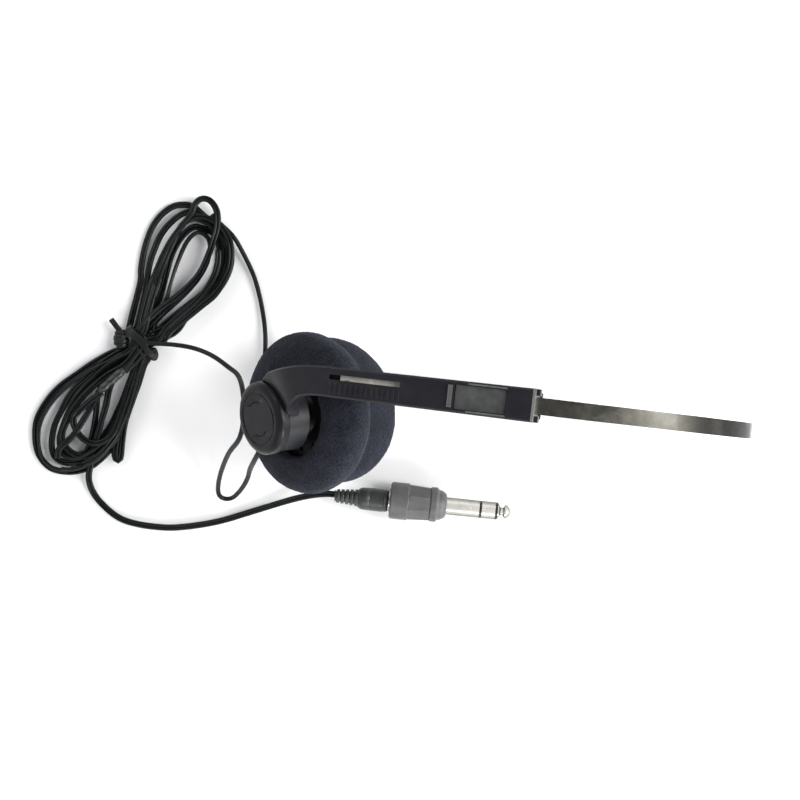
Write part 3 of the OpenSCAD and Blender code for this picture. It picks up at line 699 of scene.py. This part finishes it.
# Each strand is (section, roll in radians, height, points). Points are x and y in mm from the
# bundle's low corner; those without a z of their own lie at the strand's height, in mm.
LOWER = [
    (TWIN, 0.0, 1.0, [
        (43.9, 52.7, 4.6), (39.5, 49.5, 2.8), (34.5, 47.0), (28.7, 45.6), (21.2, 41.2),
        (15.8, 37.4), (10.6, 33.7), (6.5, 29.6), (2.8, 24.2), (0.8, 19.4), (0.4, 14.3),
        (0.9, 9.8), (2.5, 6.1), (5.5, 3.0), (8.9, 1.7), (13.0, 1.3), (17.1, 2.0), (20.5, 3.4),
        (24.3, 6.4), (27.0, 9.2), (29.0, 11.5), (30.7, 13.9), (32.1, 17.3), (33.8, 21.1),
        (36.2, 28.2), (38.2, 34.4), (39.9, 40.5), (42.0, 44.6), (39.8, 49.1, 2.3),
        (38.2, 53.4, 3.5)]),
    (TWIN, 0.0, 2.5, [
        (44.6, 51.4), (40.6, 48.1), (36.5, 47.9), (26.3, 42.2), (20.2, 36.7), (16.1, 33.0),
        (13.0, 28.9), (10.7, 24.2), (8.3, 19.4), (7.2, 15.3), (6.8, 11.6), (7.6, 7.7),
        (10.7, 5.4), (14.7, 5.2), (18.1, 6.0), (22.9, 8.7), (26.3, 11.6), (28.3, 14.3),
        (30.4, 18.0), (32.7, 23.5), (35.5, 31.0), (37.8, 37.8), (40.2, 43.9),
        (40.6, 48.0, 1.9), (38.6, 52.5, 1.4)]),
    (TWIN, 1.2, 4.0, [
        (41.5, 55.7, 4.7), (37.4, 52.5, 4.3), (37.4, 46.9), (27.6, 41.1), (21.5, 35.9),
        (17.3, 32.0), (14.4, 27.9), (12.4, 23.2), (10.5, 18.4), (9.5, 14.7), (9.3, 11.6),
        (10.1, 8.6), (12.4, 6.6), (15.4, 6.4), (18.1, 7.1), (22.2, 9.6), (25.6, 12.3),
        (27.6, 14.7), (29.5, 17.7), (31.7, 21.8), (33.7, 26.5), (36.1, 33.0), (37.9, 39.8),
        (39.8, 44.5), (41.8, 46.9, 3.8), (39.9, 51.3, 3.6)]),
    (TWIN, 0.4, 2.9, [
        (42.2, 54.5, 2.5), (38.2, 51.2, 2.7), (37.9, 46.2), (28.4, 39.8), (22.6, 35.0),
        (17.9, 31.0), (14.8, 26.5), (12.5, 21.8), (10.8, 17.4), (9.7, 14.3), (10.1, 11.3),
        (11.8, 8.9), (14.8, 7.9), (17.9, 8.2), (21.6, 10.9), (24.7, 13.6), (27.0, 16.7),
        (29.1, 20.1), (31.1, 24.2), (33.2, 28.9), (35.5, 35.4), (37.6, 41.5), (39.3, 45.2),
        (42.3, 45.8, 2.2), (40.4, 50.3, 1.5)]),
    (TWIN, 0.9, 2.3, [
        (39.6, 51.9, 4.8), (41.2, 47.5, 3.5), (40.8, 44.5), (38.1, 39.8), (35.8, 35.7),
        (32.7, 26.9), (30.0, 18.7), (28.8, 15.3), (27.3, 12.6), (24.9, 9.5), (21.8, 6.4),
        (18.1, 3.9), (14.0, 2.4), (10.3, 2.1), (6.2, 3.5), (3.1, 6.7), (1.9, 10.9),
        (1.8, 15.3), (2.6, 19.7), (5.0, 24.7), (8.4, 29.4), (13.3, 34.2), (20.8, 39.1),
        (28.3, 42.8), (35.8, 47.6), (37.6, 52.0, 3.0), (41.8, 55.3, 3.7)]),
    (TWIN, 1.35, 3.6, [
        (40.0, 50.9, 2.6), (42.0, 46.5, 3.1), (41.8, 44.2), (39.7, 39.8), (37.4, 32.3),
        (35.0, 24.2), (32.6, 18.4), (31.3, 14.7), (29.4, 11.8), (26.5, 8.6), (23.1, 5.7),
        (19.4, 3.8), (15.0, 2.6), (10.6, 3.0)]),
    (TWIN, 0.0, 5.2, [
        (38.5, 52.7, 1.6), (40.6, 48.2, 3.4), (41.0, 44.8), (39.0, 40.1), (37.2, 34.0),
        (35.0, 26.2), (32.3, 19.5), (30.6, 15.7), (28.5, 12.4), (25.5, 8.8), (22.1, 5.9),
        (18.4, 4.1)]),
    (TWIN, 0.0, 5.6, [
        (25.9, 30.9), (22.2, 28.2), (18.8, 25.2), (16.8, 23.2), (15.5, 21.1), (16.0, 17.8),
        (18.5, 14.1), (21.9, 12.1), (25.3, 12.3), (28.5, 14.2), (30.5, 17.1), (32.3, 21.5),
        (34.7, 28.2), (37.1, 36.3), (39.1, 43.1), (39.6, 49.9, 5.2), (37.7, 54.3, 4.9)]),
    (TWIN, 0.0, 4.6, [
        (43.9, 52.5, 3.8), (40.0, 49.2, 4.2), (34.2, 41.1), (26.7, 36.4), (20.0, 30.9),
        (15.2, 24.9), (12.2, 19.4), (10.9, 16.1), (10.8, 13.4), (12.2, 10.6), (15.2, 8.3),
        (19.3, 6.9), (23.3, 8.8)]),
    (TWIN, 0.0, 5.0, [
        (25.7, 32.9), (25.1, 31.6), (22.1, 26.2), (18.0, 19.4), (15.3, 15.4), (12.6, 12.7),
        (9.9, 10.0), (9.6, 6.6)]),
    (TWIN, 1.1, 3.6, [
        (29.9, 37.0), (25.8, 33.0), (23.8, 29.6), (23.1, 22.8), (21.9, 16.0), (21.1, 13.0),
        (19.7, 9.3)]),
    (TWIN, 0.0, 4.9, [
        (42.0, 54.8, 2.7), (38.2, 51.4, 3.8), (35.2, 41.8), (30.8, 37.7), (28.1, 32.3),
        (26.8, 26.2), (25.4, 21.1), (24.4, 17.4), (23.1, 13.0)]),
    (TWIN, 0.0, 2.6, [
        (40.2, 50.5, 1.6), (42.1, 46.1, 2.1), (34.5, 31.0), (32.8, 24.2), (31.2, 18.7),
        (30.4, 13.3), (29.8, 9.6), (29.7, 7.3), (30.2, 5.8), (31.0, 5.6), (31.7, 6.5),
        (31.9, 8.5), (32.2, 13.0), (33.1, 18.7), (34.8, 24.8), (37.0, 33.7),
        (41.0, 47.8, 3.8), (39.4, 52.1, 5.0)]),
    (SINGLE, 0.0, 8.2, [(34.6, 37.7), (37.1, 40.0, 7.6), (40.0, 43.1, 6.6), (42.8, 46.1, 5.6)]),
    (SINGLE, 0.0, 8.2, [(34.2, 38.1), (36.3, 40.8, 7.6), (38.6, 44.1, 6.6), (41.1, 47.5, 5.6)]),
]
UPPER = [
    (TWIN, 0.0, 1.0, [
        (39.5, 48.6, 3.9), (36.7, 53.1, 2.4), (34.7, 52.7), (35.7, 58.3), (38.8, 71.5),
        (39.1, 76.7), (40.5, 84.2), (43.2, 91.4), (46.9, 96.3), (51.4, 99.3), (55.9, 99.8),
        (58.6, 99.1), (61.2, 97.0), (63.8, 94.4), (65.7, 91.0), (67.2, 87.2), (68.0, 82.7),
        (67.4, 76.7), (65.3, 71.5), (61.9, 67.3), (57.4, 63.6), (52.2, 59.4), (46.2, 54.2),
        (41.0, 47.5, 1.9), (37.1, 44.5, 2.8)]),
    (TWIN, 0.0, 5.2, [
        (40.0, 47.6, 1.7), (37.7, 51.9, 3.5), (39.1, 52.8), (41.7, 56.2), (46.1, 60.7),
        (52.5, 65.5), (56.6, 69.2), (60.3, 73.3), (62.5, 77.1), (64.8, 82.3), (66.3, 86.8),
        (67.2, 89.7), (67.6, 93.5), (67.2, 97.2), (65.5, 100.2), (63.3, 101.5),
        (61.0, 101.1), (59.2, 99.0), (58.3, 96.1), (55.5, 92.3), (52.1, 87.9), (48.8, 82.3),
        (46.1, 76.3), (43.7, 70.0), (41.7, 63.6), (39.8, 56.2), (40.3, 49.0, 5.1),
        (42.8, 44.6, 5.0)]),
    (TWIN, 0.35, 2.4, [
        (41.2, 46.4, 4.0), (38.5, 50.9, 3.2), (37.4, 51.9), (38.9, 58.2), (41.2, 70.2),
        (42.3, 77.7), (43.8, 82.6), (46.4, 88.2), (50.1, 92.7), (54.6, 96.1), (58.4, 97.0),
        (62.1, 95.7), (65.9, 92.7), (68.5, 88.9), (70.0, 84.1), (69.8, 78.1), (67.8, 72.5),
        (64.4, 68.0), (59.9, 64.2), (54.6, 60.1), (48.6, 54.5), (38.9, 50.2, 2.6),
        (35.0, 47.3, 2.9)]),
    (TWIN, 1.25, 3.8, [
        (41.7, 45.4, 1.8), (39.3, 49.8, 2.8), (39.5, 51.8), (41.4, 58.9), (44.0, 67.5),
        (45.9, 75.0), (47.4, 80.9), (50.4, 86.5), (54.1, 91.0), (58.2, 94.0), (62.3, 93.3),
        (66.8, 90.3), (70.0, 86.5), (71.5, 82.1), (70.9, 76.8), (68.7, 71.6), (65.3, 67.1),
        (60.8, 63.4), (55.6, 59.1), (50.8, 53.7), (40.3, 48.9, 4.5), (36.4, 46.0, 5.1)]),
    (TWIN, 0.0, 1.2, [
        (39.3, 48.9, 4.1), (36.5, 53.3, 2.6), (40.9, 51.2), (42.8, 57.9), (46.2, 66.9),
        (48.1, 73.7), (49.6, 79.3), (51.8, 84.2), (55.2, 89.1), (59.0, 91.7), (62.7, 90.8),
        (67.6, 88.0), (71.0, 84.2), (72.4, 79.7), (71.5, 75.2), (69.1, 70.7), (65.7, 66.8),
        (61.2, 63.0), (56.0, 58.5), (51.5, 52.7), (40.8, 47.8, 2.1), (36.9, 44.8, 3.0)]),
    (TWIN, 1.3, 3.0, [
        (39.8, 47.9, 1.9), (37.3, 52.2, 2.5), (42.8, 50.3), (45.0, 56.7), (48.8, 64.5),
        (50.6, 71.3), (52.1, 76.5), (54.0, 81.8), (56.2, 86.3), (59.2, 89.3), (61.8, 89.4),
        (64.3, 87.0), (64.8, 82.9), (63.7, 78.0), (61.1, 73.2), (57.7, 69.0), (53.2, 64.5),
        (48.4, 60.1), (43.9, 55.2), (41.3, 51.8), (39.9, 49.3, 4.1), (42.6, 44.9, 5.2)]),
    (TWIN, 0.0, 4.9, [
        (36.5, 45.5, 4.1), (40.6, 48.4, 4.5), (47.6, 49.5), (50.9, 53.2), (56.5, 57.9),
        (61.9, 62.5), (66.4, 66.1), (70.0, 70.9), (72.4, 76.0), (73.0, 81.9), (71.9, 86.8),
        (69.0, 91.3), (65.8, 93.5), (61.7, 94.9), (58.0, 94.6), (55.0, 92.4), (52.8, 89.0),
        (50.6, 83.8), (47.6, 76.3), (45.0, 68.9), (42.7, 59.9), (40.9, 52.5),
        (37.1, 52.8, 4.0), (39.5, 48.5, 3.1)]),
    (TWIN, 0.0, 5.8, [
        (37.1, 44.4, 2.0), (41.5, 47.3, 3.9), (46.2, 49.8), (49.6, 54.7), (54.4, 59.1),
        (59.3, 63.2), (63.6, 67.7), (66.7, 72.5), (68.4, 77.8), (68.6, 82.6)]),
]


def strand(seed, size, roll, height, points):
    """One run of cable that wanders a little and stays above the floor."""
    placed = [(*point, height)[:3] for point in points]
    path = spline([(BUNDLE.x + x * MM, BUNDLE.y + y * MM, z * MM) for x, y, z in placed],
                  step=1.1 * MM)
    count = len(path)
    half_height = TWIN[1] * 0.5 + 0.55 * MM * abs(math.sin(roll))
    path[:, 2] += wander(count, seed, size=16, amount=0.55 * MM)
    path[:, 0] += wander(count, seed + 40, size=22, amount=0.25 * MM)
    path[:, 1] += wander(count, seed + 80, size=22, amount=0.25 * MM)
    path[:, 2] = np.maximum(path[:, 2], half_height + 0.05 * MM)
    rolls = roll + wander(count, seed + 120, size=30, amount=0.45)
    return sweep(path, twin_section(*size), rolls)


def coil(name, strands, first_seed):
    parts = [strand(first_seed + 11 * i, *entry) for i, entry in enumerate(strands)]
    piece = new_piece(name, *joined(parts), "cable")
    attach(piece, "headband")
    return piece


# ------------------------------------------------------------------ free runs of cable
# Each run is (width, thickness, points), in mm in the layout; the first two points lead out
# of the coil.
LEADS = {
    "left_lead": (1.7, 1.25, [
        (-97, 21.5, 4.5), (-93, 20.8, 6), (-88.5, 20.5, 8), (-81.5, 20, 10), (-73.5, 18.5, 14),
        (-66, 15.5, 22), (-58.5, 11, 36), (-54.5, 8.5, 46), (-52, 4, 54), (-51, -3.5, 58),
        (-52.5, -12, 55), (-58, -18, 42), (-63, -25.5, 24), (-66, -32, 9), (-66, -36, 3),
        (-62.5, -36.5, 2.5), (-59, -34, 9), (-55.5, -30.5, 20), (-52, -26.5, 38),
        (-49, -22.5, 58), (-45.8, -18.4, 71.3), (-43, -14, 75.5)]),
    "right_lead": (1.7, 1.25, [
        (-68.9, 67.9, 4.2), (-66.0, 64.6, 3.8), (-61.4, 60.6, 3.4), (-58.6, 55.8, 2.2),
        (-55.3, 49.2, 1.2), (-53.2, 44, 1), (-50.7, 33.5, 1), (-49.4, 22, 2), (-50.2, 8, 3),
        (-50.8, -6, 6), (-50, -16, 14), (-46.5, -21, 25), (-43, -20.2, 30),
        (-40.2, -17.2, 28), (-37.8, -14.3, 25.4)]),
    "main_lead": (2.4, 1.3, [
        (-111.5, -16, 4), (-113.0, -22.5, 3.2), (-114.6, -27.6, 2.4), (-114.2, -31, 1.6),
        (-111.8, -36.1, 1), (-104.2, -43.1, 0.9), (-97.2, -45.6, 0.9), (-89.9, -46.7, 0.9),
        (-82.5, -47, 0.9), (-68, -45, 0.9), (-53.9, -40.9, 1), (-41, -36.9, 2.2),
        (-33.5, -35, 4.6), (-27.5, -34.1, 6.4), (-24.4, -34.28, 6.69),
        (-22.3, -34.49, 6.72)]),
}


def from_layout(x, y, z):
    return (x - LAYOUT_CENTRE[0]) * MM, (y - LAYOUT_CENTRE[1]) * MM, z * MM


def soften(path, reach):
    """Evens out the kinks of a path; its ends stay where they are."""
    count = len(path)
    evened = path.copy()
    for i in range(count):
        near = min(i, count - 1 - i, reach)
        if near:
            weights = np.hanning(2 * near + 3)[1:-1]
            window = path[i - near:i + near + 1]
            evened[i] = (window * weights[:, None]).sum(axis=0) / weights.sum()
    return evened


def lead(node):
    width, thickness, points = LEADS[node]
    path = soften(spline([from_layout(*point) for point in points], step=0.8 * MM), reach=7)
    section = twin_section(width * MM, thickness * MM, count=10)
    piece = new_piece(node + "_cable", *sweep(path, section), "cable")
    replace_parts(piece, node)
    return piece, path


def side_lead(side):
    """The cable follows the headband, then bends along to the arm."""
    piece, path = lead(side + "_lead")
    end = Vector(path[-1])
    start = Vector(path[int(len(path) * 0.35)])
    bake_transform(piece, "headband", side + "_arm_body", start=start, end=end)


# ------------------------------------------------------------------ cable tie
STRAP_OUTLINE = [(x * MM, y * MM) for x, y in (
    (-0.75, -0.3), (-0.5, -0.45), (0.5, -0.45), (0.75, -0.3), (0.85, 0),
    (0.75, 0.3), (0.5, 0.45), (-0.5, 0.45), (-0.75, 0.3), (-0.85, 0))]
TIE_ANGLE = math.radians(-48)           # the direction across the coil's waist
STRAP_HALF_WIDTH, STRAP_HALF_HEIGHT = 7.3 * MM, 3.3 * MM
STRAP_TURNS, STRAP_POINTS = 2.35, 150
KNOT_TURNS, KNOT_POINTS = 3.3, 110


def mm_vector(x, y, z):
    return Vector((x * MM, y * MM, z * MM))


def ribbon(points, roll, width=1.0, thickness=1.0, step=0.4, up=(0, 0, 1)):
    """Strap along the points; width and thickness scale its outline, step is in mm."""
    section = [(width * x, thickness * y) for x, y in STRAP_OUTLINE]
    return sweep(spline(points, step * MM), section, roll, up)


def strap_path(middle, across, along):
    """Turns of strap round the waist, which drift along the cable."""
    points = []
    for i in range(STRAP_POINTS):
        share = i / (STRAP_POINTS - 1)
        angle = math.radians(200) - 2 * math.pi * STRAP_TURNS * share
        cosine, sine = math.cos(angle), math.sin(angle)
        x = STRAP_HALF_WIDTH * math.copysign(abs(cosine) ** 0.8, cosine)
        z = STRAP_HALF_HEIGHT * math.copysign(abs(sine) ** 0.8, sine)
        drift = (share - 0.5) * 1.5 * MM + 0.22 * MM * math.sin(5 * angle)
        points.append(middle + across * x + along * drift
                      + Vector((0, 0, z + 0.15 * MM * math.sin(3 * angle))))
    return points


def knot_path(knot):
    """Twisted turns, fattest halfway along."""
    points = []
    for i in range(KNOT_POINTS):
        share = i / (KNOT_POINTS - 1)
        angle = 2 * math.pi * KNOT_TURNS * share + 0.6
        fat = 0.75 + 0.35 * math.sin(math.pi * share)
        points.append(knot + mm_vector(2.15 * fat * math.cos(angle), 2.5 - 5.2 * share,
                                       1.7 * fat * math.sin(angle)))
    return points


def tie():
    middle = Vector(from_layout(-94.4, 21.1, 3.6))
    across = Vector((math.cos(TIE_ANGLE), math.sin(TIE_ANGLE), 0))
    along = Vector((-across.y, across.x, 0))
    knot = middle + mm_vector(-7.9, 1.3, -0.9)
    link = [middle + across * (-6.6 * MM) + mm_vector(0, 0, 1.6),
            middle + mm_vector(-5.4, 3.0, 0.9),
            knot + mm_vector(0.6, 1.5, 0.6), knot + mm_vector(-0.6, -1.0, 0.2)]
    tail = [knot + mm_vector(*offset) for offset in (
        (0.6, 0.6, 0.4), (-0.2, 2.6, 0.8), (-1.7, 4.7, 0.9), (-3.6, 7.2, 0.6))]
    hook = [middle + across * (5.0 * MM) + along * (0.4 * MM) + mm_vector(0, 0, 2.2)]
    hook += [middle + mm_vector(*offset) for offset in (
        (4.6, -2.6, 0.9), (5.2, -4.6, 0.2), (4.6, -6.0, -0.2), (3.5, -5.6, 0.0),
        (3.2, -4.2, 0.3), (3.4, -3.0, 0.2))]
    verts, faces = joined([
        ribbon(strap_path(middle, across, along), math.pi / 2, step=0.5, up=tuple(along)),
        ribbon(knot_path(knot), math.pi / 2, width=1.15, thickness=1.2, up=(0, 1, 0)),
        ribbon(link, roll=0.0, width=1.5, thickness=1.2),
        ribbon(tail, roll=0.0, width=1.2, thickness=1.2),
        ribbon(hook, roll=0.3, width=0.9, thickness=1.3)])
    piece = new_piece("cable_tie_strap", verts, faces, "tie")
    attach(piece, "headband")
    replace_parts(piece, "cable_tie")


# ------------------------------------------------------------------ splitter and plug grip
# Profiles are (distance along the axis, radius) in mm.
SPLITTER_ANGLE = math.radians(42)
SPLITTER_SLIM = 0.92                    # scales the profile's radii
SPLITTER_PROFILE = [
    (-6.0, 0), (-6.0, 1.0), (-5.8, 1.1), (-5.0, 1.18), (-4.9, 1.45), (-4.6, 1.6),
    (-2.2, 1.66), (-1.9, 1.5), (-1.6, 1.5), (-1.3, 1.66), (1.3, 1.66), (1.6, 1.5), (1.9, 1.5),
    (2.2, 1.66), (4.6, 1.6), (5.0, 1.4), (5.1, 1.2), (5.8, 1.1), (6.0, 1.0), (6.0, 0)]
GRIP_BARREL = [
    (0.0, 0), (0.0, 3.55), (-0.25, 3.8), (-1.0, 4.05), (-1.5, 4.12), (-1.62, 3.98),
    (-1.85, 3.98), (-2.0, 4.15), (-6.5, 4.15), (-6.65, 4.02), (-6.9, 4.02), (-7.05, 4.12),
    (-9.6, 4.0), (-10.6, 3.62), (-11.0, 3.2), (-11.2, 3.05)]
RIB_COUNT, RIB_PITCH, RIB_RADIUS, RIB_TAPER = 5, 1.66, 3.0, 0.14
RIB = [(-0.05, 0), (-0.2, 0.06), (-0.95, 0.02), (-1.12, -0.06), (-1.16, -0.62), (-1.6, -0.66),
       (-1.64, -0.16)]                  # offsets from a rib's start and radius
GRIP_TAIL = [(-19.35, 2.1), (-19.5, 1.95), (-19.5, 1.32), (-18.0, 1.3), (-18.0, 0)]


def splitter():
    low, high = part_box("y_splitter")
    axis = (math.cos(SPLITTER_ANGLE), math.sin(SPLITTER_ANGLE), 0)
    profile = [(t * MM, SPLITTER_SLIM * radius * MM) for t, radius in SPLITTER_PROFILE]
    piece = new_piece("y_splitter_mould", *lathe(profile, (low + high) / 2, axis), "mould")
    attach(piece, "headband")
    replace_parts(piece, "y_splitter")


def plug_grip():
    """A smooth barrel, a shoulder and a ribbed tail, on the plug's own axis."""
    axis = Vector(JOINTS["adapter_pull"]["axis"])
    low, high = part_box("plug_handle")
    reach = coords(NODES["plug_handle"].data) @ np.array(axis)
    middle = (low + high) / 2
    front = middle + axis * (float(reach.max()) - middle.dot(axis))
    profile = list(GRIP_BARREL)
    start = GRIP_BARREL[-1][0]
    for k in range(RIB_COUNT):
        radius = RIB_RADIUS - RIB_TAPER * k
        profile += [(start + along, radius + rise) for along, rise in RIB]
        start -= RIB_PITCH
    profile += [(start - 0.05, 2.2)] + GRIP_TAIL
    solid = lathe([(t * MM, r * MM) for t, r in profile], front, axis, segments=72)
    piece = new_piece("plug_grip_mould", *solid, "handle")
    piece.data.set_sharp_from_angle(angle=math.radians(40))
    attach(piece, "headband")
    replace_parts(piece, "plug_handle")


# ------------------------------------------------------------------ build
for side in SIDES:
    foam_pad(side)
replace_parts(coil("coiled_cable_lower", LOWER, first_seed=0), "cable_bundle")
coil("coiled_cable_upper", UPPER, first_seed=300)
tie()
splitter()
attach(lead("main_lead")[0], "headband")
for side in SIDES:
    side_lead(side)
for side in SIDES:
    arm_parts(side)
dress("adapter_body", bevel=0.18)
dress("adapter_nose", bevel=0.15)
plug_grip()


# ------------------------------------------------------------------ stage
FLOOR_HALF = 6
FLOOR_GAP = 0.0003
MIDDLE = (cad_lo + cad_hi) / 2
# greys of the sky by the height of the direction
SKY_LEVEL, SKY_TOP = (0.62, 0.62, 0.62, 1), (0.15, 0.15, 0.16, 1)
SKY_BETWEEN = [(0.55, (1.0, 1.0, 1.01, 1)), (0.86, (0.28, 0.28, 0.30, 1))]


def floor():
    mesh = bpy.data.meshes.new("floor")
    corners = [(x * FLOOR_HALF, y * FLOOR_HALF, 0)
               for x, y in ((-1, -1), (1, -1), (1, 1), (-1, 1))]
    mesh.from_pydata(corners, [], [(0, 1, 2, 3)])
    piece = bpy.data.objects.new("floor", mesh)
    piece.location.z = min(cad_lo.z, 0) - FLOOR_GAP
    SCENE.collection.objects.link(piece)
    material = bpy.data.materials.new("pale_floor")
    material.use_nodes = True
    inputs = material.node_tree.nodes["Principled BSDF"].inputs
    inputs["Base Color"].default_value = (0.9, 0.9, 0.9, 1)
    inputs["Roughness"].default_value = 0.9
    inputs["Specular IOR Level"].default_value = 0.1
    mesh.materials.append(material)


def sky():
    world = bpy.data.worlds.new("studio")
    SCENE.world = world
    world.use_nodes = True
    nodes, links = world.node_tree.nodes, world.node_tree.links
    background = nodes["Background"]
    position = nodes.new("ShaderNodeTexCoord")
    axes = nodes.new("ShaderNodeSeparateXYZ")
    links.new(position.outputs["Generated"], axes.inputs["Vector"])
    ramp = nodes.new("ShaderNodeValToRGB")
    elements = ramp.color_ramp.elements
    elements[0].position, elements[0].color = 0.0, SKY_LEVEL
    elements[1].position, elements[1].color = 1.0, SKY_TOP
    for place_on_ramp, colour in SKY_BETWEEN:
        elements.new(place_on_ramp).color = colour
    links.new(axes.outputs["Z"], ramp.inputs["Fac"])
    links.new(ramp.outputs["Color"], background.inputs["Color"])
    background.inputs["Strength"].default_value = 1.0


def area_light(name, offset, height, size, power):
    """Light aimed at the middle; offset is its x and y from there."""
    data = bpy.data.lights.new(name, "AREA")
    data.shape, data.energy = "RECTANGLE", power
    data.size, data.size_y = size
    light = bpy.data.objects.new(name, data)
    light.location = (MIDDLE.x + offset[0], MIDDLE.y + offset[1], height)
    light.rotation_mode = "QUATERNION"
    light.rotation_quaternion = (MIDDLE - light.location).to_track_quat("-Z", "Y")
    SCENE.collection.objects.link(light)


def camera():
    """Looks straight down."""
    data = bpy.data.cameras.new("camera")
    data.lens, data.sensor_width = 62.325, 36.0
    data.clip_start, data.clip_end = 0.01, 20
    viewer = bpy.data.objects.new("camera", data)
    viewer.location = (0.0104, -0.0126, 0.511)
    SCENE.collection.objects.link(viewer)
    SCENE.camera = viewer


floor()
sky()
area_light("key", offset=(0.60, 0.05), height=0.66, size=(0.34, 0.5), power=7.0)
area_light("side", offset=(0.85, -0.20), height=0.36, size=(0.25, 0.6), power=2.5)
area_light("fill", offset=(-0.55, 0.55), height=0.75, size=(0.5, 0.4), power=2.0)
area_light("kick", offset=(0.34, -0.46), height=0.30, size=(0.15, 0.3), power=2.6)
area_light("low", offset=(-0.1, -0.8), height=0.55, size=(0.7, 0.25), power=2.5)
camera()
SCENE.view_settings.view_transform = "Standard"
SCENE.view_settings.look = "None"
SCENE.view_settings.exposure = 0.0
